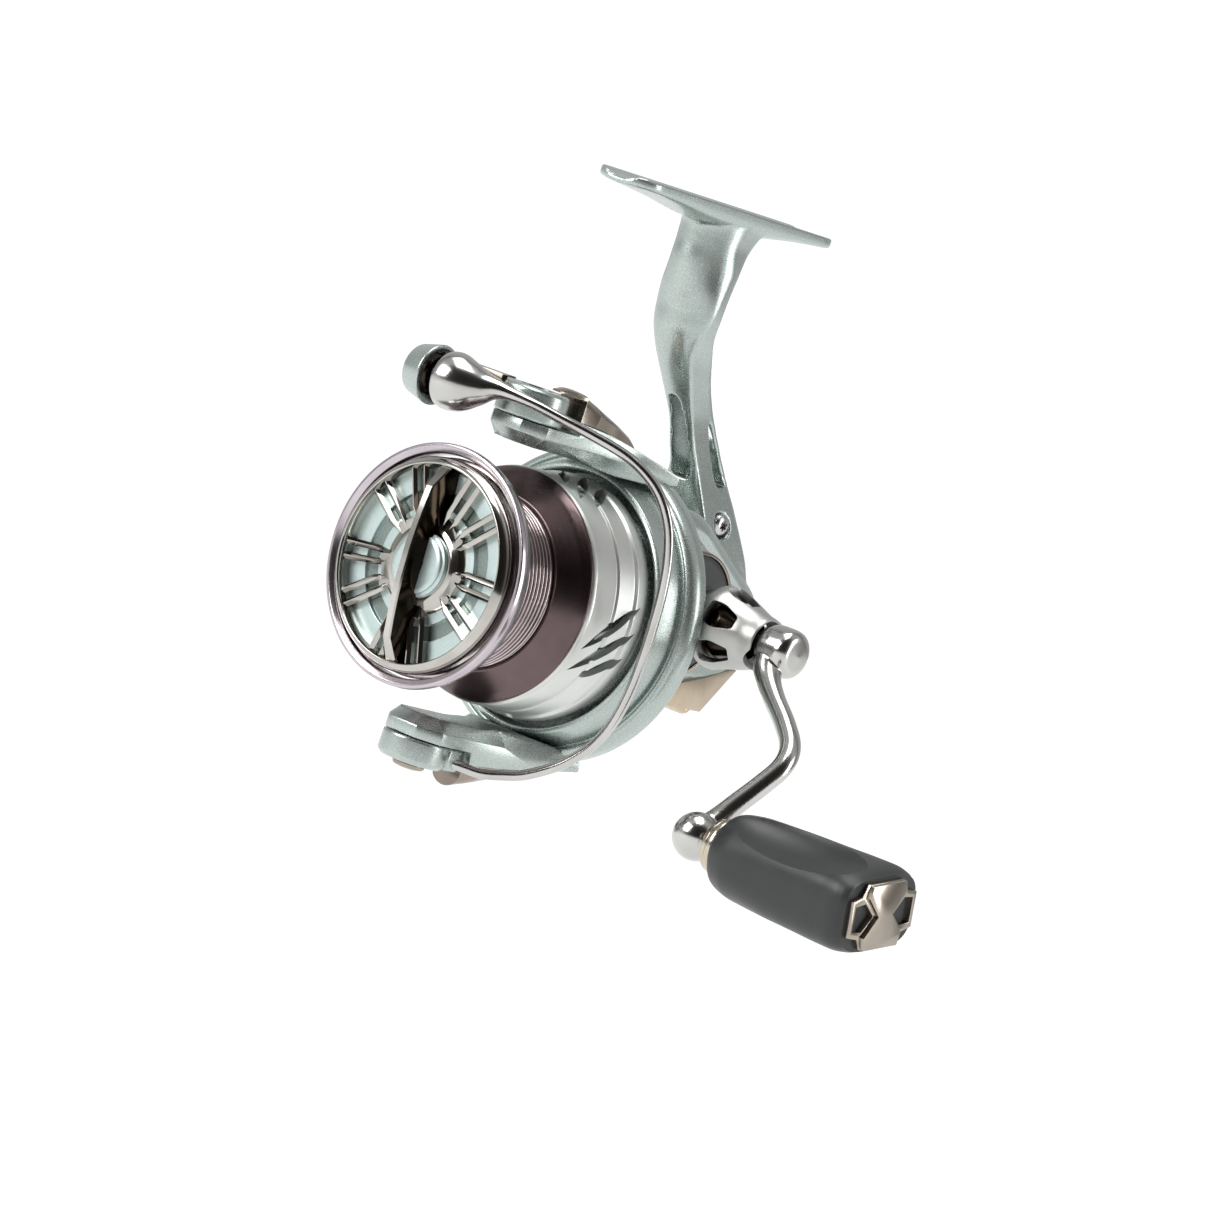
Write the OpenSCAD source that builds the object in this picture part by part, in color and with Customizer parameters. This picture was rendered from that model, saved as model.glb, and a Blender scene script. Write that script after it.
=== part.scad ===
// Front-drag spinning reel, size 3000.
// Origin at the middle of the foot's top, where the rod seats. +Z up, spool towards -Y, crank on +X.

/* [Foot and stem] */
// Length of the foot along the rod
foot_len = 63.4; // [60:0.1:68]
// Width of the foot
foot_w = 14; // [12:0.5:16]
// Thickness of the foot at its middle
foot_t = 3.4; // [3:0.1:4]
// Radius of the rod cradle on top of the foot
cradle_r = 9; // [8:0.5:11]

/* [Main axis] */
// Height of the spool and rotor axis
shaft_z = -80; // [-80.5:0.1:-79.5]
// Radius of the main shaft
shaft_r = 1.6; // [1.4:0.05:1.65]

/* [Spool] */
// Radius of the front lip
lip_r = 23; // [22.5:0.1:23.5]
// Front face of the lip along the axis
lip_y = -47.8; // [-48:0.1:-47.5]
// Radius of the line-carrying arbor
arbor_r = 14.8; // [14:0.1:15.5]
// Front edge of the skirt
skirt_y = -25.4; // [-25.6:0.1:-25.2]
// Length of the skirt
skirt_len = 15.6; // [15:0.1:15.8]
// Outer radius of the skirt at its rear
skirt_r = 23.5; // [23:0.1:23.6]

/* [Rotor and bail] */
// Outer radius of the rotor hoop
hoop_r = 30; // [29.5:0.1:30.2]
// Bail pivot along the main axis
pivot_y = -33; // [-33.5:0.1:-32.5]
// Radius of each rotor arm's rounded end
arm_end_r = 7; // [6.8:0.1:7.6]
// Radius of the bail wire
wire_r = 1; // [0.8:0.05:1.1]
// Radius of the line roller
roller_r = 3.4; // [3:0.1:3.5]

/* [Drag knob] */
// Radius of the drag knob
drag_r = 20.2; // [19:0.1:20.4]
// Number of spoke groups, two pairs of bars in each
spoke_groups = 5; // [4:1:6]

/* [Crank] */
// Crank axis along the main axis
crank_y = 8.3; // [8.2:0.1:8.4]
// Crank axis height
crank_z = -74.65; // [-74.7:0.05:-74.6]
// Lean of the crank arm from straight down
crank_tilt = 35; // [30:1:40]
// Length of the crank arm
crank_len = 43.1; // [42:0.1:44]
// Radius of the crank arm
crank_r = 2; // [1.8:0.1:2.2]
// Length of the knob's rubber grip
grip_len = 36; // [34:0.5:37]

/* [Hidden] */
$fn = 64;

run = 0.05;                       // running clearance, radial
seat = 0.02;                      // clearance of seated pieces
past = 1;                         // how far a cutter runs past a face

// Gear case
case_r = 18.6;
case_wall = 1.4;
case_front = -1.6;
case_back = 0.4;
case_half_w = 12.5;
rear_half_w = 6.5;
cover_split = -1;
rear_y = 34;
rear_r = 13.5;
nose_r = 18.8;
nose_front = -13;
nose_wall = 1.2;
boss_r = 12.3;
boss_x = 18;
bearing_r = 6;

// Face gear and pinion: the face gear's teeth are straight and lie along lines that pass
// the gear's axis at the height offset, so each tooth is parallel to the pinion in mesh
gear_teeth = 47;
pinion_teeth = 9;
gear_offset = crank_z - shaft_z;
pinion_pitch_r = 2.4;
mesh_reach = pinion_pitch_r * gear_teeth / pinion_teeth;
tooth_half_len = 1.6;
gear_tip_x = 2.25;
gear_root_x = 3.1;
gear_r = sqrt(pow(mesh_reach + tooth_half_len, 2) + pow(gear_offset, 2));

// Oscillation gears
osc_y = 23.5;
osc_z = -79.5;
osc_x = -7.5;
osc_face = 2;
osc_teeth = 24;
step_teeth = 12;
osc_dist = sqrt(pow(osc_y - crank_y, 2) + pow(osc_z - crank_z, 2));
step_r = osc_dist * step_teeth / (osc_teeth + step_teeth);
osc_r = osc_dist - step_r;
mesh_angle = atan2(osc_y - crank_y, crank_z - osc_z);
osc_phase = mesh_angle + 180 + 180 / osc_teeth;
stroke = 11.8;
spool_back = 3.8;
slider_mid_y = osc_y + stroke / 2 - spool_back;

// Crank and knob
joint_x = 41.2;
knob_x = 56.1;
knob_y = crank_y - crank_len * sin(crank_tilt);
knob_z = crank_z - crank_len * cos(crank_tilt);
ball_r = 4.6;
knob_roll = 15;
grip_x = knob_x + 8;

// Rotor: the hoop's rear edge, clear of the crank hub, and the arms' heights above the axis
hoop_back = -0.1;
arm_in = 26.5;
arm_pivot = 31;
bail_in = 31.2;

// ---------- placing ----------

module on_shaft(y) translate([0, y, shaft_z]) rotate([-90, 0, 0]) children();
module on_crank(x) translate([x, crank_y, crank_z]) rotate([0, 90, 0]) children();
module along_x(x, y, z) translate([x, y, z]) rotate([0, 90, 0]) children();
module in_crank() translate([0, crank_y, crank_z]) rotate([-crank_tilt, 0, 0]) children();
module in_knob() translate([0, knob_y, knob_z]) rotate([knob_roll, 0, 0]) children();
module slab_x(x0, x1) translate([x0, 0, 0]) rotate([90, 0, 90]) linear_extrude(x1 - x0) children();
module slab_y(y0, y1) translate([0, y1, 0]) rotate([90, 0, 0]) linear_extrude(y1 - y0) children();

// A child drawn above the main axis, for the upper side (1) or the lower side (-1)
module on_side(side)
    translate([0, 0, shaft_z])
        mirror([0, 0, side < 0 ? 1 : 0])
            children();

module ring(outer, inner, h)
    difference() {
        cylinder(r = outer, h = h);
        translate([0, 0, -past]) cylinder(r = inner, h = h + 2 * past);
    }

// ---------- swept rods ----------

function spline(a, b, c, d, t) =
    0.5 * ((2 * b) + (c - a) * t + (2 * a - 5 * b + 4 * c - d) * t * t
    + (3 * b - a - 3 * c + d) * t * t * t);
function smooth_path(p, steps) = [
    for (i = [0 : len(p) - 2])
        for (k = [0 : steps - 1])
            spline(p[max(i - 1, 0)], p[i], p[i + 1], p[min(i + 2, len(p) - 1)], k / steps),
    p[len(p) - 1]
];

// Round bar from the point a to the point b
module bar(a, b, r) {
    d = b - a;
    translate(a) rotate([0, acos(d[2] / norm(d)), atan2(d[1], d[0])]) cylinder(r = r, h = norm(d));
}

function unit(v) = v / norm(v);
function tangent(p, i) = unit(p[min(i + 1, len(p) - 1)] - p[max(i - 1, 0)]);

// Rod of radius r along the points p, whose plane has the normal n
module rod(p, r, n, sides = 12) {
    count = len(p);
    points = [
        for (i = [0 : count - 1])
            let (t = tangent(p, i), a = unit(cross(n, t)), b = cross(t, a))
            for (k = [0 : sides - 1])
                p[i] + r * (cos(360 * k / sides) * a + sin(360 * k / sides) * b)
    ];
    walls = [
        for (i = [0 : count - 2])
            for (k = [0 : sides - 1])
                [i * sides + k, (i + 1) * sides + k,
                 (i + 1) * sides + (k + 1) % sides, i * sides + (k + 1) % sides]
    ];
    first = [for (k = [0 : sides - 1]) k];
    last = [for (k = [sides - 1 : -1 : 0]) (count - 1) * sides + k];
    polyhedron(points, concat(walls, [first, last]), convexity = 6);
}

// ---------- gears ----------

// Spur gear along +Z with straight-flanked teeth and working backlash
module spur_gear(teeth, pitch_r, h, bore, above = 0.42, below = 0.5) {
    pitch = 2 * PI * pitch_r / teeth;
    root = pitch_r - below;
    difference() {
        union() {
            cylinder(r = root, h = h);
            for (i = [0 : teeth - 1])
                rotate([0, 0, 360 * i / teeth])
                    linear_extrude(h)
                        polygon([
                            [root - 0.2, -0.23 * pitch], [pitch_r + above, -0.12 * pitch],
                            [pitch_r + above, 0.12 * pitch], [root - 0.2, 0.23 * pitch]
                        ]);
        }
        translate([0, 0, -past]) cylinder(r = bore, h = h + 2 * past);
    }
}

module face_tooth() {
    pitch = 2 * PI * pinion_pitch_r / pinion_teeth;
    translate([0, -mesh_reach + tooth_half_len, -gear_offset])
        rotate([90, 0, 0])
            linear_extrude(2 * tooth_half_len)
                polygon([
                    [gear_root_x + 0.2, -0.23 * pitch], [gear_tip_x, -0.11 * pitch],
                    [gear_tip_x, 0.11 * pitch], [gear_root_x + 0.2, 0.23 * pitch]
                ]);
}

// ---------- frame ----------

module foot() {
    half = foot_len / 2;
    corner_r = 5;
    across = foot_w / 2 - corner_r;
    difference() {
        intersection() {
            slab_x(-foot_w / 2, foot_w / 2)
                polygon([
                    [-half, 0], [-half, -1.3], [-18, -2.2], [-8, -foot_t], [10, -foot_t],
                    [20, -2.4], [half, -1.3], [half, 0]
                ]);
            translate([0, 0, -foot_t - past])
                linear_extrude(foot_t + past)
                    union() {
                        translate([-foot_w / 2, corner_r - half]) square([foot_w, foot_len - 2 * corner_r]);
                        translate([-across, -half]) square([2 * across, foot_len]);
                        for (x = [-across, across])
                            for (y = [corner_r - half, half - corner_r])
                                translate([x, y]) circle(r = corner_r);
                    }
        }
        translate([0, half + past, cradle_r - 1.1])
            rotate([90, 0, 0]) cylinder(r = cradle_r, h = foot_len + 2 * past);
    }
}

module stem() {
    difference() {
        intersection() {
            slab_x(-foot_w, foot_w)
                polygon([
                    [-9, -2], [-5.6, -6], [-5.1, -12], [-4.1, -17], [-3, -21], [-2.5, -25],
                    [-0.6, -29], [2.5, -33], [6, -37], [9.6, -41], [12.5, -46], [15.2, -50],
                    [16.4, -54], [17, -62], [34, -68], [33, -62], [28.9, -54], [27.3, -50],
                    [23.9, -46], [19.6, -41], [16, -37], [12.7, -33], [10, -29], [6.8, -25],
                    [5.7, -21], [5.6, -17], [6.5, -12], [7.8, -7], [13, -2]
                ]);
            slab_y(-12, 40)
                polygon([
                    [-7, -2], [-6.5, -8], [-7.2, -17], [-7, -21], [-6.1, -25], [-4.7, -29],
                    [-3.4, -37], [-3, -41], [-3.2, -46], [-5.6, -54], [-8, -60], [-8, -68],
                    [8, -68], [8, -60], [5.6, -54], [3.2, -46], [3, -41], [3.4, -37], [4.7, -29],
                    [6.1, -25], [7, -21], [7.2, -17], [6.5, -8], [7, -2]
                ]);
        }
        slab_x(-20, 20) polygon([[14.9, -38.4], [17.4, -43.2], [22.6, -51.4], [25.6, -51.2], [19.4, -43]]);
        slab_y(4, 21) polygon([[-1.5, -37], [1, -37], [2.1, -45], [2.1, -51], [-2.2, -51], [-2.2, -45]]);
        along_x(5.4, 25, -58) cylinder(r = 2.3, h = 8);
    }
}

// Outline of the gear case in the Y-Z plane, drawn in by g, behind the wall's front face
module case_outline(g, front = case_front)
    intersection() {
        union() {
            translate([crank_y, crank_z]) circle(r = case_r - g);
            translate([rear_y, shaft_z]) circle(r = rear_r - g);
            polygon([
                [crank_y, crank_z + case_r - g - 0.1], [rear_y, shaft_z + rear_r - g - 0.1],
                [rear_y, shaft_z - rear_r + g + 0.1], [crank_y, crank_z - case_r + g + 0.1]
            ]);
        }
        translate([front, -100]) square([60, 60]);
    }

// Plan of the case, which narrows towards the rear on the crank side, drawn in by g
module case_plan(g)
    translate([0, 0, -110])
        linear_extrude(60)
            polygon([
                [-20, -20], [case_half_w - g, -20], [case_half_w - g, 17], [rear_half_w - g, 50],
                [-20, 50]
            ]);

module nose() {
    front_wall = 2;
    difference() {
        on_shaft(nose_front) cylinder(r = nose_r, h = case_front + 2 - nose_front);
        on_shaft(nose_front + front_wall)
            cylinder(r = nose_r - nose_wall, h = case_front - nose_front - front_wall);
        on_shaft(nose_front - past) cylinder(r = bearing_r + 0.4 + seat, h = 4);
        on_shaft(case_front - past) cylinder(r = 2.9 + seat, h = 4);
        translate([2.05, case_front - past, -91]) cube([5.2, 4, 33]);
        for (a = [90 : 120 : 330])
            on_shaft(nose_front - past) rotate([0, 0, a]) translate([11.2, 0, 0])
                cylinder(r = 0.9, h = 4);
    }
}

module frame()
    color([0.58, 0.67, 0.65]) {
        foot();
        difference() {
            union() {
                stem();
                difference() {
                    intersection() {
                        slab_x(cover_split, case_half_w) case_outline(0);
                        case_plan(0);
                    }
                    intersection() {
                        slab_x(cover_split - past, case_half_w) case_outline(case_wall, case_back);
                        case_plan(case_wall);
                    }
                    translate([2.05, case_front - past, -91]) cube([5.2, 4, 33]);
                    on_shaft(case_front - past) cylinder(r = 2.9 + seat, h = 4);
                }
                on_crank(case_half_w - case_wall) cylinder(r = boss_r, h = boss_x - case_half_w + case_wall);
                nose();
            }
            // gear room, cut again where the stem runs into the case
            intersection() {
                slab_x(cover_split - 12, case_half_w) case_outline(case_wall, case_back);
                case_plan(case_wall);
            }
            slab_x(-20, cover_split) case_outline(-seat, case_back);
            on_crank(case_half_w - case_wall - past) cylinder(r = bearing_r + seat, h = 12);
            on_crank(boss_x) cylinder(r = boss_r, h = 3);
        }
    }

// Cover screws: along the main axis, height
cover_screw_spots = [[24, -69.6], [41.5, -75], [24, -90.2]];
module side_cover()
    color([0.58, 0.67, 0.65])
        difference() {
            union() {
                difference() {
                    slab_x(-case_half_w, cover_split - seat) case_outline(0, case_back + seat);
                    slab_x(-case_half_w + case_wall, cover_split + past) case_outline(case_wall);
                }
                on_crank(-15) cylinder(r = 7.5, h = 15 - case_half_w + case_wall);
                along_x(-case_half_w + 0.4, osc_y, osc_z) cylinder(r = 1.5, h = case_half_w - 6);
            }
            on_crank(-16) cylinder(r = bearing_r + seat, h = 8);
            for (p = cover_screw_spots)
                along_x(-case_half_w - past, p[0], p[1]) cylinder(r = 1.2, h = 4);
        }

module side_cover_screws()
    color("silver")
        for (p = cover_screw_spots)
            along_x(-case_half_w - 0.9, p[0], p[1]) {
                cylinder(r = 2, h = 0.85);
                cylinder(r = 1.1, h = 3);
            }

module rear_cover()
    color([0.66, 0.62, 0.56])
        difference() {
            intersection() {
                slab_x(-11, 7.2)
                    difference() {
                        translate([rear_y, shaft_z]) circle(r = rear_r + 1.4);
                        translate([rear_y, shaft_z]) circle(r = rear_r + 0.03);
                    }
                slab_x(-12, 8) polygon([[34, -100], [60, -100], [60, -76], [44, -76], [34, -86]]);
            }
            translate([0, rear_y + rear_r - 3, shaft_z]) rotate([-90, 0, 0]) cylinder(r = 1.3, h = 6);
        }

module rear_cover_screw()
    color("silver")
        translate([0, rear_y + rear_r + 1.42, shaft_z])
            rotate([-90, 0, 0]) cylinder(r = 2.1, h = 0.9);

module boss_plate()
    color([0.2, 0.2, 0.22])
        on_crank(boss_x + seat) ring(boss_r - 0.2, bearing_r + 0.4, 0.8);

module port_cap() color([0.2, 0.2, 0.22]) on_crank(-16.6) cylinder(r = 7.4, h = 1.55);

module drive_bearings()
    color("silver") {
        on_crank(-14.6) ring(bearing_r, 3 + run, 3);
        on_crank(14.6) ring(bearing_r, 3 + run, 3);
    }

module pinion_bearing() color("silver") on_shaft(nose_front + 0.1) ring(bearing_r + 0.4, 2.6 + run, 1.9);
module pinion_bush() color("gold") on_shaft(case_front) ring(2.9, 2.1 + run, 1.9);

module clutch_housing()
    color("dimgray")
        difference() {
            on_shaft(nose_front - 3.7) ring(13, 7, 3.65);
            for (a = [90 : 120 : 330])
                on_shaft(nose_front - 5) rotate([0, 0, a]) translate([11.2, 0, 0])
                    cylinder(r = 0.9, h = 7);
        }

module clutch_rollers()
    color("silver")
        for (i = [0 : 7])
            on_shaft(nose_front - 3.4) rotate([0, 0, 45 * i]) translate([5.8, 0, 0])
                cylinder(r = 1.1, h = 3);

module clutch_screws()
    color("silver")
        for (a = [90 : 120 : 330])
            on_shaft(nose_front - 3.68) rotate([0, 0, a]) translate([11.2, 0, 0])
                cylinder(r = 0.85, h = 5);

guide_z = -88;
module slider_guide()
    color("silver")
        translate([0, 12, guide_z]) rotate([-90, 0, 0]) cylinder(r = 1.2, h = 30);

module stem_screw()
    color("silver")
        difference() {
            along_x(5.45, 25, -58) cylinder(r = 2.2, h = 1.6);
            along_x(6.2, 25, -58) cylinder(r = 1.1, h = 2, $fn = 6);
        }

// ---------- drive ----------

module drive_gear()
    color("goldenrod")
        difference() {
            union() {
                on_crank(gear_root_x) cylinder(r = gear_r, h = 2);
                on_crank(gear_root_x) cylinder(r = 6, h = 6);
                for (i = [0 : gear_teeth - 1])
                    translate([0, crank_y, crank_z])
                        rotate([360 * (i + 0.5) / gear_teeth, 0, 0]) face_tooth();
            }
            on_crank(0) cylinder(r = 3 + seat, h = 12);
        }

module handle_shaft()
    color("silver") {
        on_crank(-14.8) cylinder(r = 3, h = 46);
        on_crank(osc_x)
            rotate([0, 0, mesh_angle]) spur_gear(step_teeth, step_r, osc_face, 2.5);
    }

module handle_sleeve()
    color([0.1, 0.1, 0.11])
        on_crank(boss_x + 0.1)
            difference() {
                ring(5.4, 3 + seat, 7.3);
                for (k = [1.4 : 1.6 : 6]) translate([0, 0, k]) ring(6.4, 4.9, 0.6);
            }

module handle_hub()
    color([0.8, 0.8, 0.82])
        difference() {
            union() {
                on_crank(25.5)
                    rotate_extrude()
                        polygon([
                            [3 + seat, 0], [7.6, 0], [8, 0.6], [8, 2.4], [4.6, 12.4], [4.6, 14],
                            [0, 14], [0, 12], [3.2, 11], [6.3, 2], [3 + seat, 1.6]
                        ]);
                in_crank()
                    for (s = [-1, 1])
                        translate([joint_x, s * 3.5, 0]) rotate([90, 0, 0])
                            cylinder(r = 4.3, h = 1.7, center = true);
                in_crank()
                    for (s = [-1, 1])
                        translate([37.5, s * 3.5 - 0.85, -3.6]) cube([4, 1.7, 7.2]);
            }
            for (i = [0 : 4])
                on_crank(28.4) rotate([0, 0, 72 * i])
                    linear_extrude(8) polygon([[2, -1.2], [10, -3], [10, 3], [2, 1.2]]);
            in_crank() translate([joint_x, 6, 0]) rotate([90, 0, 0]) cylinder(r = 1.2 + seat, h = 12);
            in_crank() translate([36.9, -2.62, -6]) cube([12, 5.24, 12]);
        }

// ---------- crank and knob ----------

// Crank arm's line in its own plane: along X, and down from the fold joint
arm_line = [
    [joint_x, 0, 0], [43.6, 0, -5], [48, 0, -9.4], [54.6, 0, -13.8], [59.2, 0, -18],
    [60.8, 0, -22.6], [59.6, 0, -28.4], [57.6, 0, -35], [knob_x, 0, -crank_len]
];

module crank_arm()
    color([0.8, 0.8, 0.82])
        in_crank()
            difference() {
                union() {
                    rod(smooth_path(arm_line, 4), crank_r, [0, 1, 0]);
                    translate([joint_x, 0, 0]) rotate([90, 0, 0]) cylinder(r = 4.1, h = 5, center = true);
                    translate([knob_x, 0, -crank_len]) sphere(r = ball_r);
                }
                translate([joint_x, 5, 0]) rotate([90, 0, 0]) cylinder(r = 1.2 + run, h = 10);
                translate([knob_x, 0, -crank_len]) rotate([0, 90, 0]) cylinder(r = 1.6 + seat, h = 8);
            }

module fold_pin()
    color("dimgray")
        in_crank() translate([joint_x, 0, 0]) rotate([90, 0, 0]) cylinder(r = 1.2, h = 8.7, center = true);

module knob_spindle()
    color("silver")
        along_x(knob_x + 0.05, knob_y, knob_z) cylinder(r = 1.6, h = 36);

module knob_grip()
    color([0.12, 0.12, 0.13])
        in_knob()
            difference() {
                intersection() {
                    translate([grip_x, 0, -12])
                        linear_extrude(24)
                            polygon([
                                [0, -5.6], [3, -7.2], [14, -8.4], [27, -10], [33, -10.4], [grip_len, -9.2],
                                [grip_len, 9.2], [33, 10.4], [27, 10], [14, 8.4], [3, 7.2], [0, 5.6]
                            ]);
                    translate([grip_x, 14, 0])
                        rotate([90, 0, 0])
                            linear_extrude(28)
                                polygon([
                                    [0, -5.6], [3, -6.6], [16, -5.8], [27, -7.2], [33, -7.8],
                                    [grip_len, -6.4], [grip_len, 6.8], [33, 8.4], [27, 7.4], [16, 5.2],
                                    [3, 6.6], [0, 5.6]
                                ]);
                }
                translate([grip_x - past, 0, 0]) rotate([0, 90, 0]) cylinder(r = 3.4, h = 30);
                for (x = [0, 25])
                    translate([grip_x + x - (x > 0 ? 0 : past), 0, 0]) rotate([0, 90, 0])
                        cylinder(r = 3.4, h = 3);
            }

module knob_end_cap()
    color([0.66, 0.62, 0.58])
        in_knob()
            translate([grip_x + grip_len + 0.03, 0, 0])
                rotate([90, 0, 90])
                    difference() {
                        linear_extrude(2)
                            polygon([
                                [-9, -2.4], [-5, -5.6], [5, -5.6], [9, -2.4], [9, 2.4],
                                [5, 5.6], [-5, 5.6], [-9, 2.4]
                            ]);
                        for (s = [-1, 1])
                            translate([s * 5.4, 0, 1]) rotate([0, 0, s > 0 ? 0 : 180])
                                cylinder(r = 2.4, h = 2, $fn = 5);
                    }

module knob_ferrule()
    color([0.7, 0.64, 0.52]) along_x(knob_x + 4.9, knob_y, knob_z) ring(5.6, 1.6 + run, 3.05);

module knob_bearings()
    color("silver")
        for (x = [0.3, 24])
            along_x(grip_x + x, knob_y, knob_z) ring(3.38, 1.6 + run, 2.6);

// ---------- oscillation ----------

module oscillation_gear()
    color("ivory")
        along_x(osc_x, osc_y, osc_z)
            union() {
                rotate([0, 0, osc_phase]) spur_gear(osc_teeth, osc_r, osc_face, 1.5 + run);
                rotate([0, 0, asin(1 - 2 * spool_back / stroke)])
                    translate([stroke / 2, 0, osc_face - 0.1]) cylinder(r = 1.1, h = 1.2);
            }

// ---------- rotor ----------

module rotor_shell()
    on_shaft(0)
        rotate_extrude()
            polygon([
                [2.6 + seat, -19], [19.6, -19], [20.4, -18.2], [20.4, -5.6], [24.5, -5.6],
                [24.5, -9.6], [25.7, -9.9], [27, -5], [29.4, -3.8], [hoop_r, -2.8], [hoop_r, -0.8],
                [29.3, hoop_back], [27, hoop_back], [27, -4.4], [19.3, -4.4], [19.3, -17],
                [2.6 + seat, -17]
            ]);

// Screws that hold each arm's cover: across the arm, along the main axis
cover_spots = [[2, -21.6], [0, -9]];
module arm_plan(half_w)
    union() {
        polygon([
            [-13.5, -1], [-9.4, -8], [-half_w, -16], [-half_w, pivot_y], [half_w, pivot_y],
            [half_w, -16], [9.4, -8], [13.5, -1]
        ]);
        translate([0, pivot_y]) circle(r = half_w);
    }

module rotor_arm(side)
    on_side(side)
        difference() {
            intersection() {
                slab_x(-14, 14)
                    polygon([
                        [-1, 27.4], [-6, 26], [-12, 25.6], [-22, arm_in], [-41, arm_in], [-41, arm_pivot],
                        [-25.2, arm_pivot], [-24.6, 33.4], [-16, 32.8], [-8, 31.2], [-1, 29.2]
                    ]);
                linear_extrude(40) arm_plan(arm_end_r);
            }
            translate([0, pivot_y, 20]) cylinder(r = pin_r + seat, h = 20);
            if (side > 0) translate([3.2, -20, 28.2]) cube([3, 13, 3]);
            if (side > 0) translate([-5, -21, 28.2]) cube([2.6, 17, 3]);
            for (p = cover_spots) translate([p[0], p[1], 28]) cylinder(r = 0.8 + seat, h = 10);
        }

module rotor()
    color([0.55, 0.64, 0.62])
        difference() {
            union() {
                rotor_shell();
                rotor_arm(1);
                rotor_arm(-1);
            }
            on_shaft(-20) cylinder(r = 2.6 + seat, h = 6);
        }

module arm_cover(side)
    on_side(side)
        difference() {
            intersection() {
                slab_x(-6, 6)
                    polygon([
                        [-24.4, 33.43], [-16, 32.84], [-8, 31.25], [-3, 29.86], [-3, 31.6],
                        [-8, 33.6], [-16, 35.8], [-23, 37.1], [-24.4, 36.6]
                    ]);
                linear_extrude(40)
                    polygon([
                        [-1.3, -24.4], [-2.8, -21.3], [-5.4, -16], [-5.8, -12], [-3.4, -3], [3.4, -3],
                        [5.8, -12], [5.6, -24.4]
                    ]);
            }
            for (p = cover_spots) translate([p[0], p[1], 28]) cylinder(r = 0.8 + seat, h = 10);
        }
module arm_cover_upper() color([0.5, 0.47, 0.45]) arm_cover(1);
module arm_cover_lower() color([0.5, 0.47, 0.45]) arm_cover(-1);

module arm_cover_screws()
    color("silver")
        for (side = [-1, 1])
            on_side(side)
                for (p = cover_spots)
                    translate([p[0], p[1], 28.3]) cylinder(r = 0.8, h = p[1] < -20 ? 8.2 : 4.8);

module bail_spring()
    color("silver")
        on_side(1) translate([4.7, -19.5, 29.7]) rotate([-90, 0, 0]) ring(1.3, 0.8, 12);
module spring_guide()
    color("silver")
        on_side(1) translate([4.7, -19.8, 29.7]) rotate([-90, 0, 0]) cylinder(r = 0.7, h = 12.4);

module trip_lever()
    color("ivory") on_side(1) translate([-4.8, -20.5, 28.4]) cube([2.2, 12.5, 1.6]);

module pinion_gear()
    color("goldenrod")
        difference() {
            union() {
                on_shaft(-22.2) cylinder(r = 2.6, h = 12);
                on_shaft(-10.9) cylinder(r = 3.2, h = 4.3);
                on_shaft(-6.6)
                    spur_gear(pinion_teeth, pinion_pitch_r, 4.7, shaft_r + run, 0.5, 0.3);
                on_shaft(-1.95) cylinder(r = 2.1, h = 2.4);
            }
            on_shaft(-24) cylinder(r = shaft_r + run, h = 30);
        }

module rotor_nut()
    color("silver")
        difference() {
            on_shaft(-21.5) cylinder(r = 4.6, h = 2.45, $fn = 6);
            on_shaft(-23) cylinder(r = 2.6 + seat, h = 6);
        }

module nut_lock()
    color("dimgray")
        difference() {
            on_shaft(-19.9) cylinder(r = 7.5, h = 0.85);
            on_shaft(-23) cylinder(r = 4.7, h = 6, $fn = 6);
        }

module clutch_sleeve() color("silver") on_shaft(-16.9) ring(4.6, 2.6 + seat, 3.8);

module bail_pivot_screws()
    color([0.55, 0.52, 0.5])
        for (side = [-1, 1])
            on_side(side) translate([0, pivot_y, 0]) {
                head = side > 0 ? upper_head + 0.1 : lower_head;
                translate([0, 0, arm_in + 0.1]) cylinder(r = pin_r, h = head - arm_in);
                translate([0, 0, head]) cylinder(r = head_r, h = head_t);
            }

// ---------- bail ----------

roller_y = -44.8;                 // roller axis along the main axis
roller_h = 33.3;                  // and above it
ear_x = -17.6;                    // outer face of the ear that carries the roller
ear_t = 2;
roller_x = ear_x + ear_t + 0.4;   // outer end of the roller
roller_len = 3.3;
cone_x = roller_x + roller_len + 0.3;
axle_r = 1.4;
hub_r = 6.9;                      // bail arm's hub, on the upper rotor arm
bail_top = 37.6;
link_z = 34.6;                    // underside of the link that passes beside the arm cover
ear_z = 33.4;
plate_r = 6.4;                    // bail holder's plate, on the lower rotor arm
plate_t = 1.5;
head_r = 3.2;                     // pivot screws' heads, and how high each one sits
head_t = 1.4;
upper_head = 35.6;
lower_head = bail_in + plate_t + 0.1;
pin_r = 1.6;                      // pivot screw's shank
socket = 0.15;                    // clearance of the wire in its two sockets
bearing_out = 2.3;                // outer radius of the roller's bearing

module on_roller(x) on_side(1) translate([x, roller_y, roller_h]) rotate([0, 90, 0]) children();
module pivot_plate() translate([0, pivot_y, bail_in]) cylinder(r = plate_r, h = plate_t);
module pivot_bore() translate([0, pivot_y, 20]) cylinder(r = pin_r + run, h = 20);

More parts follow.
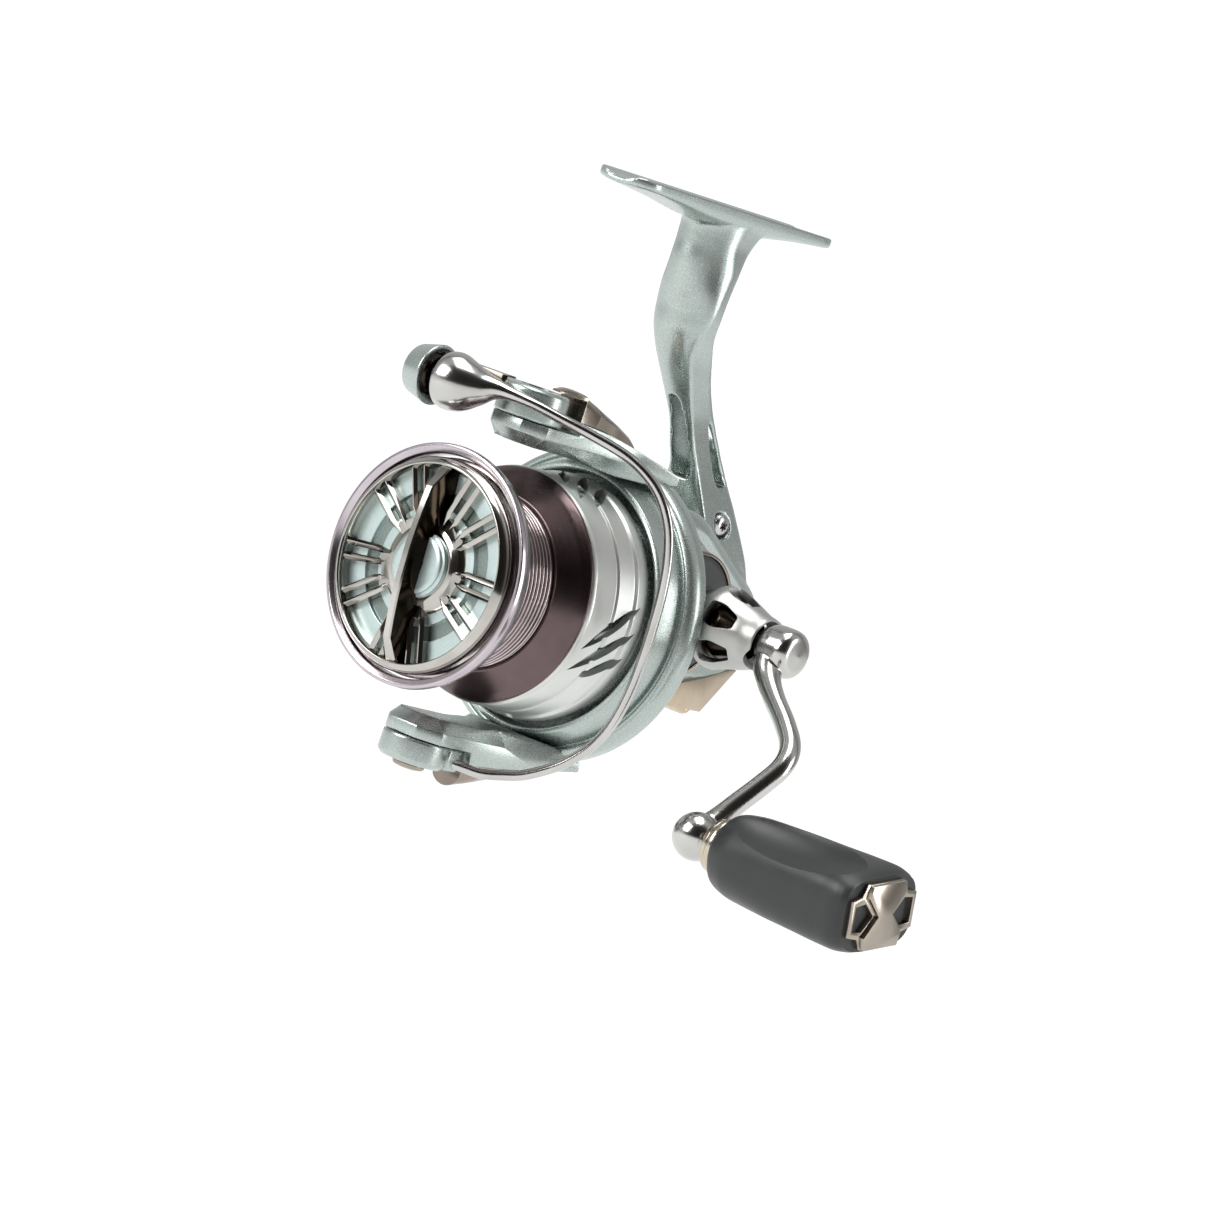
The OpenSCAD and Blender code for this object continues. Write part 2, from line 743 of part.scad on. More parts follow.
module bail_arm()
    color([0.58, 0.67, 0.65])
        difference() {
            union() {
                on_side(1) {
                    translate([0, pivot_y, bail_in]) cylinder(r = hub_r, h = bail_top - bail_in - 0.4);
                    translate([0, 0, link_z])
                        linear_extrude(bail_top - link_z)
                            polygon([
                                [-4, -36.4], [-15.2, -39.8], [ear_x, -39.8], [ear_x, -36.2], [-4, -32.1]
                            ]);
                    translate([ear_x, roller_y - 2.6, ear_z]) cube([ear_t, 10.6, bail_top - ear_z]);
                }
                on_roller(ear_x) cylinder(r = 5, h = ear_t);
                on_roller(ear_x + ear_t - 0.4)
                    cylinder(r = axle_r, h = cone_x + 1.1 - ear_x - ear_t + 0.4);
            }
            on_side(1) pivot_bore();
            on_side(1) translate([0, pivot_y, upper_head]) cylinder(r = head_r + run, h = 4);
        }

module bail_holder()
    color([0.58, 0.67, 0.65])
        difference() {
            on_side(-1) {
                pivot_plate();
                translate([1.6, -29.8, bail_in]) cube([4.2, 4.45, 4.2]);
            }
            on_side(-1) pivot_bore();
            bar(
                wire_line[wire_last - 1], 2 * wire_line[wire_last] - wire_line[wire_last - 1],
                wire_r + socket
            );
        }

// Line of the bail wire, from the cone over the crank side to the holder
wire_line = [
    [-9.4, -44.1, -46.5], [-5.4, -43.1, -46], [-0.7, -41.9, -45.3], [5.2, -39.5, -45.6],
    [10.5, -35.7, -46.6], [15, -31.5, -47.6], [19.8, -27.1, -49], [23.8, -24.6, -51], [27, -22.4, -54],
    [29.4, -20.4, -58.6], [30.7, -19, -64],
    [31.2, -17.9, -70], [31.1, -17, -76.5], [30.9, -16.4, -83], [30.3, -15.9, -89.5],
    [29, -15.8, -96], [26.8, -16.4, -101.4], [24.2, -17.4, -105.2], [21.2, -18.7, -108.3],
    [17, -20.8, -111.4], [13.6, -22.5, -112.8], [10.4, -24.5, -113.8], [7.4, -26.1, -113.9],
    [4.4, -27.7, -113.9]
];
wire_last = len(wire_line) - 1;
module bail_wire() color([0.8, 0.8, 0.82]) rod(smooth_path(wire_line, 3), wire_r, [-0.5, 0.86, 0.1]);

module bail_cone()
    color([0.8, 0.8, 0.82])
        difference() {
            on_roller(cone_x)
                rotate_extrude()
                    polygon([[0, 0], [4.2, 0], [4.6, 1.2], [4.2, 3], [2.8, 4.8], [1.2, 6.4], [0, 6.8]]);
            on_roller(cone_x - past) cylinder(r = axle_r + seat, h = past + 1.2);
            bar(wire_line[0] - [0.4, 0.1, 0], wire_line[2], wire_r + socket);
        }

cap_t = 1.6;
module roller_cap()
    color([0.58, 0.67, 0.65])
        on_roller(ear_x - cap_t) cylinder(r1 = 4.3, r2 = 4.8, h = cap_t - run);

module line_roller()
    color([0.15, 0.15, 0.16])
        on_roller(roller_x)
            rotate_extrude()
                polygon([
                    [bearing_out, 0], [roller_r, 0], [roller_r, 0.7], [2.9, 1.3], [2.9, 2],
                    [roller_r, 2.6], [roller_r, roller_len], [bearing_out, roller_len]
                ]);

module roller_bearing()
    color("silver") on_roller(roller_x + 0.1) ring(bearing_out - seat, axle_r + run, roller_len - 0.2);

// ---------- main shaft ----------

slider_len = 6;
slider_y = slider_mid_y - slider_len / 2;
module main_shaft() color("silver") on_shaft(-50) cylinder(r = shaft_r, h = 91);

module oscillation_slider()
    color("dimgray")
        difference() {
            translate([-3.4, slider_y, -90.4]) cube([5.4, slider_len, 17.4]);
            on_shaft(slider_y - past) cylinder(r = shaft_r + seat, h = 12);
            on_shaft(slider_y - past) translate([0, shaft_z - guide_z, 0]) cylinder(r = 1.2 + run, h = 12);
            translate([-3.4 - past, slider_mid_y - 1.2, -87]) cube([past + 0.9, 2.4, 20]);
        }

module slider_screw()
    color("silver")
        translate([-4.3, slider_mid_y, -88.9]) rotate([0, 90, 0]) cylinder(r = 1.3, h = 0.88);

module spool_support()
    color("ivory")
        on_shaft(-35.8)
            difference() {
                union() {
                    cylinder(r = 3, h = 9);
                    translate([0, 0, 8.5]) cylinder(r = 6, h = 1);
                }
                translate([0, 0, -past]) cylinder(r = shaft_r + seat, h = 14);
            }

// ---------- spool ----------

module spool()
    color([0.45, 0.36, 0.37])
        on_shaft(0)
            rotate_extrude()
                difference() {
                    polygon([
                        [3 + run, -31], [12.2, -31], [12.2, -43], [20.4, -44.4], [20.9, -44.2],
                        [15.4, -42.4], [arbor_r, -41.6], [arbor_r, -30.2], [21.4, -26.4],
                        [22.3, skirt_y - 0.05], [12.2, skirt_y - 0.05], [12.2, -27.4], [3 + run, -27.4]
                    ]);
                    for (y = [-40.6 : 1.7 : -31]) translate([arbor_r - 0.35, y]) square([1, 0.7]);
                }

module spool_skirt()
    color([0.82, 0.82, 0.84])
        difference() {
            on_shaft(skirt_y)
                rotate_extrude()
                    polygon([
                        [15, 0], [22.4, 0], [22.6, 4], [22.3, 4.3], [22.7, 4.6], [23, 9.4],
                        [skirt_r, skirt_len - 1], [skirt_r - 0.3, skirt_len], [22, skirt_len],
                        [21.4, 9], [21.3, 1.4], [15, 1.4]
                    ]);
            for (turn = [0 : 90 : 270])
                for (leaf = skirt_leaves)
                    translate([0, leaf[1], shaft_z])
                        rotate([0, turn + leaf[0], 0])
                            translate([18, 0, 0])
                                rotate([leaf_lean, 0, 0]) leaf_cutter(leaf[2] / 2);
        }

// Skirt slots: turn about the main axis, middle along it, length
skirt_leaves = [[0.9, -17.6, 15.6], [13.2, -17.4, 15.8], [21, -15.4, 10]];
leaf_lean = 41;
leaf_w = 2.2;
module leaf_cutter(half)
    rotate([0, 90, 0])
        linear_extrude(8)
            polygon([
                [0, -half], [leaf_w / 2, 1.8 - half], [leaf_w / 2, half - 1.8],
                [0, half], [-leaf_w / 2, half - 1.8], [-leaf_w / 2, 1.8 - half]
            ]);

module lip_ring()
    color([0.74, 0.7, 0.77])
        on_shaft(lip_y)
            rotate_extrude()
                polygon([
                    [20.95, 0.9], [21.3, 0.4], [22.2, 0], [22.7, 0], [lip_r, 0.3], [lip_r, 2.2],
                    [22, 3.6], [20.95, 3.7]
                ]);

module friction_washers()
    color([0.3, 0.28, 0.26]) for (y = [-32.05, -34, -35.95]) on_shaft(y) ring(11.6, 3.4, 1);
module keyed_washers()
    color("silver") for (y = [-33, -34.95, -36.9]) on_shaft(y) ring(11, 3.2, 0.9);
module washer_retainer() color("silver") on_shaft(-38) ring(12.18, 10.4, 0.9);

// ---------- drag knob ----------

face_y = -46.2;
knob_turn = 3.6;                  // where the knob happens to stand, its top towards the far side
group_turn = 54 + knob_turn;      // first group of spokes
spoke_lean = 14.6;                // a pair's lean from the middle of its group
bar_w = 0.9;
module drag_knob()
    color([0.5, 0.5, 0.52])
        union() {
            on_shaft(-44.9) ring(8.5, 3.6, 6);
            on_shaft(-49.5) ring(drag_r, 18.7, 4.8);
            on_shaft(face_y + 1.05) ring(drag_r, 3.6, 0.45);
            for (g = [0 : spoke_groups - 1])
                for (pair = [-spoke_lean, spoke_lean])
                    for (s = [-1, 1])
                        on_shaft(-48.9)
                            rotate([0, 0, -group_turn - 360 * g / spoke_groups - pair])
                                translate([9.4, s * 1.2 - bar_w / 2, 0]) cube([9.5, bar_w, 2.65]);
            translate([0, 0, shaft_z])
                rotate([0, -knob_turn, 0])
                    slab_x(-1.3, 1.3)
                        polygon([
                            [-46.23, 18.8], [-53.8, 14.4], [-53.8, -14.4], [-46.23, -18.8],
                            [-46.23, -16], [-50.6, -7], [-50.6, 7], [-46.23, 16]
                        ]);
        }

module drag_knob_face()
    color([0.6, 0.69, 0.67])
        on_shaft(face_y) ring(18.68, 6.9, 1.03);

module drag_nut() color([0.6, 0.69, 0.67]) on_shaft(-49.8) ring(3.55, shaft_r + run, 6.5);
module drag_spring() color("silver") on_shaft(-38.8) ring(7.6, 5, 0.7);

frame();
side_cover();
side_cover_screws();
rear_cover();
rear_cover_screw();
boss_plate();
port_cap();
drive_bearings();
pinion_bearing();
pinion_bush();
clutch_housing();
clutch_rollers();
clutch_screws();
slider_guide();
stem_screw();
drive_gear();
handle_shaft();
handle_sleeve();
handle_hub();
crank_arm();
fold_pin();
knob_spindle();
knob_grip();
knob_end_cap();
knob_ferrule();
knob_bearings();
oscillation_gear();
rotor();
pinion_gear();
rotor_nut();
nut_lock();
clutch_sleeve();
arm_cover_upper();
arm_cover_lower();
arm_cover_screws();
bail_spring();
spring_guide();
bail_pivot_screws();
trip_lever();
bail_arm();
bail_holder();
bail_wire();
bail_cone();
roller_cap();
line_roller();
roller_bearing();
main_shaft();
oscillation_slider();
slider_screw();
spool_support();
spool();
spool_skirt();
lip_ring();
friction_washers();
keyed_washers();
washer_retainer();
drag_knob();
drag_knob_face();
drag_nut();
drag_spring();
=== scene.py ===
"""Spinning reel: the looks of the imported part. Lengths in the code are millimetres."""
from math import acos, atan2, copysign, cos, hypot, pi, radians, sin, sqrt

import bmesh
import bpy
import numpy as np
from mathutils import Matrix, Vector


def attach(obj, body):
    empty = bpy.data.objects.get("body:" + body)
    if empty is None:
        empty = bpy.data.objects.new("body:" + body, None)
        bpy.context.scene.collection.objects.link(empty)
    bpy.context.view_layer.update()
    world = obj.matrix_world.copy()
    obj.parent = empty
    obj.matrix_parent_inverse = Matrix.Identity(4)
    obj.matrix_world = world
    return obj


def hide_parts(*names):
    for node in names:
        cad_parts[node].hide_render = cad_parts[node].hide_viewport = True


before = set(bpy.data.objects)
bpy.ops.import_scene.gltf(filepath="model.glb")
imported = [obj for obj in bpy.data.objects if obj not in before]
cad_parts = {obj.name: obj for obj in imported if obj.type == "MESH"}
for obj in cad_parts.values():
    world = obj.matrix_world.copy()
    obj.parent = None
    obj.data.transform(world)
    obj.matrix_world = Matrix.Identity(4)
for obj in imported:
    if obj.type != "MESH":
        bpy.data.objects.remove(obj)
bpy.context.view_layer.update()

MM = 0.001
SHAFT_Z = -80.0
CRANK_Y, CRANK_Z, CRANK_TILT, CRANK_LEN = 8.3, -74.65, 35.0, 43.1
JOINT_X, KNOB_X, GRIP_X, GRIP_LEN = 41.2, 56.1, 64.1, 36.0
KNOB_Y = CRANK_Y - CRANK_LEN * sin(radians(CRANK_TILT))
KNOB_Z = CRANK_Z - CRANK_LEN * cos(radians(CRANK_TILT))
REAR_Y, REAR_R, CASE_R, CASE_HALF = 34.0, 13.5, 18.6, 12.5
PIVOT_Y, ROLLER_Y, ROLLER_H = -33.0, -44.8, 33.3
KNOB_TURN, KNOB_TILT = 3.6, 15
FOOT_HALF, FOOT_W, FOOT_CORNER = 31.0, 7.0, 5.0
# radius of the cradle in the foot's top, and the height of its middle line
CRADLE_R, CRADLE_Z = 9, 7.9
# where the crank side of the case starts to narrow, and by how much for each millimetre
TAPER_START, TAPER = 17.0, 6.0 / 33
# the slanted corner below the case's rear end: its outward direction in Y and Z, and its distance
CORNER_Y, CORNER_Z, CORNER_OUT = 0.718, -0.696, 88.6
WALL, BEARING_BORE, VOXEL = 1.6, 6.02, 0.33
ARM_END_R = 7.0
STEM_SCREW = (25, -58)
COVER_SCREWS = [(24, -69.6), (41.5, -75), (24, -90.2)]
# skirt slots: turn about the main axis, middle along it, length
SLOTS = [(0.9, -17.6, 15.6), (13.2, -17.4, 15.8), (21, -15.4, 10)]
SLOT_LEAN = 41
WINDOW_TURN = 10

# ---------- places ----------


def turn(angle, axis):
    return Matrix.Rotation(radians(angle), 4, axis)


def move(x, y, z):
    return Matrix.Translation((x, y, z))


def along_x(x, y, z):
    return move(x, y, z) @ turn(90, "Y")


def on_side(side):
    """Local +Z points out through the upper arm (side 1) or the lower one (side -1)."""
    return move(0, 0, SHAFT_Z) @ Matrix.Diagonal((1, 1, side, 1))


HERE = Matrix.Identity(4)
# at the ON_ places, local +Z runs back along the main axis, or towards +X at the other three
ON_SHAFT = move(0, 0, SHAFT_Z) @ turn(-90, "X")
ON_CRANK = along_x(0, CRANK_Y, CRANK_Z)
ON_KNOB = along_x(0, KNOB_Y, KNOB_Z)
ON_ROLLER = on_side(1) @ move(0, ROLLER_Y, ROLLER_H) @ turn(90, "Y")
AT_PIVOT = move(0, PIVOT_Y, SHAFT_Z)
IN_CRANK = move(0, CRANK_Y, CRANK_Z) @ turn(-CRANK_TILT, "X")
IN_KNOB = move(0, KNOB_Y, KNOB_Z) @ turn(KNOB_TILT, "X")

# ---------- mesh making ----------


def build(name, verts, faces, place=HERE):
    """An object from points in millimetres, its normals facing out."""
    mesh = bpy.data.meshes.new(name)
    mesh.from_pydata([place @ Vector(v) * MM for v in verts], [], faces)
    bm = bmesh.new()
    bm.from_mesh(mesh)
    bmesh.ops.remove_doubles(bm, verts=bm.verts, dist=1e-7)
    bmesh.ops.recalc_face_normals(bm, faces=bm.faces)
    bm.to_mesh(mesh)
    bm.free()
    obj = bpy.data.objects.new(name, mesh)
    bpy.context.scene.collection.objects.link(obj)
    return obj


def bake(obj):
    """Applies the object's modifiers."""
    bpy.context.view_layer.update()
    graph = bpy.context.evaluated_depsgraph_get()
    made = bpy.data.meshes.new_from_object(obj.evaluated_get(graph))
    old = obj.data
    obj.modifiers.clear()
    obj.data = made
    bpy.data.meshes.remove(old)
    return obj


def combine(obj, others, how):
    for other in others:
        change = obj.modifiers.new("combine", "BOOLEAN")
        change.operation = how
        change.solver = "EXACT"
        change.object = other
        bake(obj)
        bpy.data.objects.remove(other)
    return obj


def union(obj, *others):
    return combine(obj, others, "UNION")


def cut(obj, *others):
    return combine(obj, others, "DIFFERENCE")


def common(obj, *others):
    return combine(obj, others, "INTERSECT")


def bevel(obj, width, segments=2, angle=30):
    change = obj.modifiers.new("bevel", "BEVEL")
    change.width = width * MM
    change.segments = segments
    change.limit_method = "ANGLE"
    change.angle_limit = radians(angle)
    change.use_clamp_overlap = True
    return bake(obj)


def cast(obj, voxel, rounds):
    """Runs the pieces of a casting into one smooth skin."""
    change = obj.modifiers.new("cast", "REMESH")
    change.mode = "VOXEL"
    change.voxel_size = voxel * MM
    soften = obj.modifiers.new("soften", "SMOOTH")
    soften.factor = 0.5
    soften.iterations = rounds
    return bake(obj)


def rounded(points, steps=4, closed=True):
    """Corners of an outline, each (a, b, radius), rounded off."""
    out = []
    count = len(points)
    for i, point in enumerate(points):
        p = Vector(point[:2])
        size = point[2] if len(point) > 2 else 0
        if size <= 0 or (not closed and i in (0, count - 1)):
            out.append(tuple(p))
            continue
        before = Vector(points[i - 1][:2]) - p
        after = Vector(points[(i + 1) % count][:2]) - p
        reach = min(size, 0.48 * before.length, 0.48 * after.length)
        a, b = p + before.normalized() * reach, p + after.normalized() * reach
        for k in range(steps + 1):
            t = k / steps
            out.append(tuple(a * (1 - t) ** 2 + p * 2 * t * (1 - t) + b * t * t))
    return out


def skin(rings):
    """Points and faces that join rings of equal count, with end caps."""
    n = len(rings[0])
    last = (len(rings) - 1) * n
    faces = []
    for i in range(len(rings) - 1):
        for k in range(n):
            m = (k + 1) % n
            faces.append([i * n + k, i * n + m, (i + 1) * n + m, (i + 1) * n + k])
    faces += [list(range(n))[::-1], list(range(last, last + n))]
    return [v for ring in rings for v in ring], faces


def revolve(name, profile, place, segments=160, loop=True):
    """A turned piece. The profile holds (radius, height, corner radius)."""
    line = rounded(profile, closed=loop)
    verts, faces, rings = [], [], []
    for r, h in line:
        if r < 1e-4:
            rings.append([len(verts)] * segments)
            verts.append((0, 0, h))
        else:
            rings.append(list(range(len(verts), len(verts) + segments)))
            for k in range(segments):
                a = 2 * pi * k / segments
                verts.append((r * cos(a), r * sin(a), h))
    last = len(rings) if loop else len(rings) - 1
    for i in range(last):
        a, b = rings[i], rings[(i + 1) % len(rings)]
        for k in range(segments):
            m = (k + 1) % segments
            face = []
            for v in (a[k], a[m], b[m], b[k]):
                if v not in face:
                    face.append(v)
            if len(face) > 2:
                faces.append(face)
    return build(name, verts, faces, place)


def plug(name, r, low, high, place, segments=48):
    """A round bar, to cut a hole or a seat with."""
    return revolve(name, [(0, low), (r, low), (r, high), (0, high)], place, segments, loop=False)


def arc(r, angles):
    """Part of a ball's profile, by the angle up from its lower pole."""
    return [(r * sin(radians(a)), -r * cos(radians(a))) for a in angles]


def prism(name, outline, low, high, place=HERE):
    bottom = [(x, y, low) for x, y in outline]
    top = [(x, y, high) for x, y in outline]
    return build(name, *skin([bottom, top]), place)


def slab_x(name, outline, low, high, place=HERE):
    """An outline in Y-Z, extruded along X."""
    rings = [[(x, p[0], p[1]) for p in outline] for x in (low, high)]
    return build(name, *skin(rings), place)


def curve_through(points, steps):
    out = []
    pts = [Vector(p) for p in points]
    for i in range(len(pts) - 1):
        a, b, c, d = pts[max(i - 1, 0)], pts[i], pts[i + 1], pts[min(i + 2, len(pts) - 1)]
        for k in range(steps):
            t = k / steps
            out.append(0.5 * ((2 * b) + (c - a) * t + (2 * a - 5 * b + 4 * c - d) * t * t
                + (3 * b - a - 3 * c + d) * t * t * t))
    out.append(pts[-1])
    return out


def tube(name, points, radius, sides, place=HERE):
    """A rod along points. radius(s) is its radius s millimetres along it."""
    rings = []
    run = 0.0
    side = None
    for i, p in enumerate(points):
        ahead = points[min(i + 1, len(points) - 1)] - points[max(i - 1, 0)]
        ahead.normalize()
        if side is None:
            side = ahead.cross(Vector((0, 1, 0))).normalized()
        else:
            side = (side - ahead * side.dot(ahead)).normalized()
            run += (p - points[i - 1]).length
        other = ahead.cross(side)
        r = radius(run)
        rings.append([p + side * (r * cos(2 * pi * k / sides)) + other * (r * sin(2 * pi * k / sides))
            for k in range(sides)])
    return build(name, *skin(rings), place)


def blend_values(table):
    """A smooth function through the (position, value) pairs of a table."""
    xs = [row[0] for row in table]
    ys = [row[1] for row in table]

    def read(x):
        if x <= xs[0]:
            return ys[0]
        for i in range(len(xs) - 1):
            if x <= xs[i + 1]:
                t = (x - xs[i]) / (xs[i + 1] - xs[i])
                lo = ys[max(i - 1, 0)]
                hi = ys[min(i + 2, len(ys) - 1)]
                a, b = ys[i], ys[i + 1]
                return 0.5 * (2 * a + (b - lo) * t + (2 * lo - 5 * a + 4 * b - hi) * t * t
                    + (3 * a - lo - 3 * b + hi) * t ** 3)
        return ys[-1]

    return read


# ---------- materials ----------


class Nodes:
    """Short calls for a material's node tree."""

    def __init__(self, name):
        self.material = bpy.data.materials.new(name)
        self.material.use_nodes = True
        self.tree = self.material.node_tree
        self.shader = self.tree.nodes["Principled BSDF"]
        self.place = self.add("TexCoord").outputs["Object"]

    def add(self, kind, **values):
        node = self.tree.nodes.new("ShaderNode" + kind)
        for key, value in values.items():
            if key in node.inputs:
                self.give(node.inputs[key], value)
            else:
                setattr(node, key, value)
        return node

    def give(self, socket, value):
        if isinstance(value, bpy.types.NodeSocket):
            self.tree.links.new(value, socket)
        else:
            socket.default_value = value

    def noise(self, scale, detail, stretch=None):
        place = self.place
        if stretch:
            mapped = self.add("Mapping", Vector=place)
            mapped.inputs["Scale"].default_value = stretch
            place = mapped.outputs["Vector"]
        node = self.add("TexNoise", Vector=place, Scale=scale, Detail=detail, Roughness=0.55)
        return node.outputs["Fac"]

    def cells(self, scale):
        node = self.add("TexVoronoi", Vector=self.place, Scale=scale)
        return node.outputs["Color"]

    def ramp(self, value, low, high, to_low=0.0, to_high=1.0):
        node = self.add("MapRange", Value=value)
        for key, number in zip(("From Min", "From Max", "To Min", "To Max"), (low, high, to_low, to_high)):
            node.inputs[key].default_value = number
        return node.outputs["Result"]

    def mix(self, share, a, b):
        node = self.add("Mix", data_type="RGBA")
        self.give(node.inputs["Factor"], share)
        self.give(node.inputs["A"], a)
        self.give(node.inputs["B"], b)
        return node.outputs["Result"]

    def math(self, how, a, b):
        node = self.add("Math", operation=how)
        self.give(node.inputs[0], a)
        self.give(node.inputs[1], b)
        return node.outputs["Value"]

    def bump(self, height, strength, distance):
        node = self.add("Bump", Height=height, Strength=strength, Distance=distance * MM)
        return node.outputs["Normal"]

    def set(self, **values):
        for key, value in values.items():
            self.give(self.shader.inputs[key.replace("_", " ")], value)


def rgb(r, g, b):
    """A colour given as it looks on screen, 0 to 255."""
    def linear(c):
        c /= 255
        return c / 12.92 if c <= 0.04045 else ((c + 0.055) / 1.055) ** 2.4
    return (linear(r), linear(g), linear(b), 1.0)


def paint(name, deep, pale, flake_colour, rough):
    """Metallic paint: aluminium flake under a satin clear coat, cloudy and uneven in gloss."""
    n = Nodes(name)
    flake = n.add("SeparateColor", Color=n.cells(5000)).outputs["Red"]
    glint = n.ramp(flake, 0.80, 0.98)
    cloud = n.noise(180, 4)
    base = n.mix(n.ramp(cloud, 0.2, 0.8, 0.35, 0.65), rgb(*deep), rgb(*pale))
    base = n.mix(n.math("MULTIPLY", glint, 0.3), base, rgb(*flake_colour))
    roughness = n.math("ADD", n.ramp(n.noise(420, 5), 0.3, 0.7, rough - 0.012, rough + 0.015),
        n.math("MULTIPLY", flake, -0.10))
    grain = n.math("ADD", n.math("MULTIPLY", flake, 0.5), n.noise(1500, 2))
    n.set(Base_Color=base, Metallic=0.82, Roughness=roughness, Normal=n.bump(grain, 0.045, 0.05),
        Coat_Weight=0.15, Coat_Roughness=0.2)
    return n.material


def bright(name, colour, tint, rough, brushed=(1, 1, 1), smudge=0.05, metallic=1.0):
    """Polished or plated metal: hairlines from polishing, patches of differing gloss, tiny pits."""
    n = Nodes(name)
    patch = n.noise(90, 5)
    line = n.noise(2600, 2, brushed)
    base = n.mix(n.ramp(patch, 0.35, 0.7), rgb(*colour), rgb(*tint))
    roughness = n.math("ADD", n.ramp(patch, 0.3, 0.75, rough, rough + smudge),
        n.math("MULTIPLY", line, 0.05))
    pits = n.noise(700, 4)
    height = n.math("ADD", n.math("MULTIPLY", line, 0.6), pits)
    n.set(Base_Color=base, Metallic=metallic, Roughness=roughness, Normal=n.bump(height, 0.015, 0.03))
    return n.material


def moulded(name, colour, worn, rough, grain_scale=1400, grain=0.25):
    """Moulded plastic, rubber or fibre: a fine texture and rubbed patches."""
    n = Nodes(name)
    patch = n.noise(110, 6)
    grain_noise = n.noise(grain_scale, 3)
    base = n.mix(n.ramp(patch, 0.35, 0.75, 0.0, 0.8), rgb(*colour), rgb(*worn))
    n.set(Base_Color=base, Roughness=n.ramp(patch, 0.3, 0.7, rough - 0.06, rough + 0.08),
        Normal=n.bump(n.math("ADD", grain_noise, n.math("MULTIPLY", patch, 0.4)), grain, 0.05))
    return n.material


# maker, name, colours from 0 to 255, roughness and what else the maker takes
LOOKS = {row[1]: row[0](*row[1:]) for row in (
    (paint, "seafoam_paint", (164, 174, 170), (172, 182, 178), (212, 220, 217), 0.34),
    (bright, "dark_nickel", (158, 148, 138), (134, 124, 116), 0.13),
    (bright, "polished_metal", (192, 192, 190), (178, 177, 174), 0.13),
    (bright, "satin_metal", (182, 183, 180), (168, 169, 166), 0.33),
    (bright, "skirt_metal", (214, 216, 213), (204, 206, 203), 0.27, (0.05, 1.0, 0.05), 0.04, 0.72),
    (bright, "spool_anodised", (106, 91, 93), (92, 78, 79), 0.2, (0.05, 1.0, 0.05), 0.08),
    (bright, "lip_anodised", (190, 182, 188), (174, 166, 172), 0.14, (0.05, 1.0, 0.05), 0.06),
    (moulded, "dark_plate", (52, 54, 55), (78, 80, 80), 0.42, 900, 0.12),
    (bright, "roller_black", (62, 56, 52), (40, 36, 34), 0.20),
    (moulded, "knob_rubber", (27, 29, 30), (40, 42, 42), 0.42, 2200, 0.12),
    (bright, "ferrule_nickel", (196, 187, 170), (174, 165, 149), 0.12),
    (bright, "steel", (196, 196, 198), (172, 172, 174), 0.20),
    (bright, "gear_brass", (206, 170, 104), (178, 142, 82), 0.24),
    (moulded, "inner_plastic", (66, 66, 68), (90, 90, 90), 0.45),
    (moulded, "pale_plastic", (226, 222, 208), (206, 200, 184), 0.42),
    (moulded, "drag_fibre", (84, 78, 72), (60, 56, 52), 0.75, 900, 0.5),
    (bright, "knob_chrome", (190, 188, 183), (170, 167, 161), 0.06),
    (bright, "arbor_metal", (188, 178, 179), (164, 152, 153), 0.12, (0.05, 1.0, 0.05)),
    # a paler copy of the seafoam paint: painted light on the drag knob's front face and nut
    (paint, "face_paint", (176, 193, 191), (192, 207, 205), (230, 240, 238), 0.40),
    # a darker copy of the seafoam paint: painted shade in the drag knob's recessed ring
    (paint, "band_paint", (116, 128, 125), (130, 142, 138), (176, 188, 184), 0.40),
    # a dark copy of the chrome: painted shade and dark reflections on the knob fin's flanks, in the hub's
    # windows and on the shaft behind them
    (bright, "smoked_chrome", (62, 54, 46), (44, 38, 33), 0.07),
    (bright, "badge_nickel", (164, 156, 145), (146, 138, 128), 0.16),
    (bright, "bronze_plate", (190, 176, 154), (168, 152, 132), 0.22),
)}


def dress(obj, look, body, *nodes, crease=32):
    """Gives a finished piece its material, its shading and its body, and hides the CAD nodes it stands for.
    """
    obj.data.materials.clear()
    obj.data.materials.append(LOOKS[look])
    obj.data.shade_smooth()
    obj.data.set_sharp_from_angle(angle=radians(crease))
    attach(obj, body)
    if nodes:
        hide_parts(*nodes)
    return obj


def star_screw(name, place, r, h, body, look, *nodes):
    """A domed screw head, h high, with a six-lobed socket. Local +Z points out."""
    head = revolve(name, [(0, 0), (r * 0.96, 0), (r, h * 0.25, 0.1), (r * 0.94, h * 0.72, 0.25),
        (r * 0.6, h * 0.97, 0.3), (0, h)], place, 64, loop=False)
    star = []
    for a in range(0, 360, 6):
        lobe = r * (0.40 + 0.10 * cos(radians(6 * a)))
        star.append((lobe * cos(radians(a)), lobe * sin(radians(a))))
    cut(head, prism("socket", star, h * 0.35, h + 1, place))
    return dress(head, look, body, *nodes)


# ---------- casting: foot, stem and gear case ----------


def foot():
    thick = blend_values([(-FOOT_HALF, 2.3), (-18, 3.3), (-8, 4.5), (10, 4.4), (20, 3.1), (FOOT_HALF, 2.2)])
    rounds = [FOOT_CORNER * (1 - cos(radians(a))) for a in range(6, 91, 6)]
    middle = np.linspace(-FOOT_HALF + FOOT_CORNER + 2, FOOT_HALF - FOOT_CORNER - 2, 22)
    rings = []
    for y in [-FOOT_HALF + r for r in rounds] + list(middle) + [FOOT_HALF - r for r in reversed(rounds)]:
        inset = max(0.0, abs(y) - (FOOT_HALF - FOOT_CORNER))
        w = FOOT_W - FOOT_CORNER + sqrt(FOOT_CORNER ** 2 - inset ** 2)
        ring = []
        for k in range(25):
            x = w - 2 * w * k / 24
            ring.append((x, y, min(-0.005, CRADLE_Z - sqrt(CRADLE_R ** 2 - x * x))))
        edge = -1.5
        low = -thick(y)
        for k in range(25):
            a = pi * k / 24
            ring.append((-w * cos(a), y, edge + (low - edge) * sin(a) ** 0.8))
        rings.append(ring)
    return build("foot", *skin(rings))


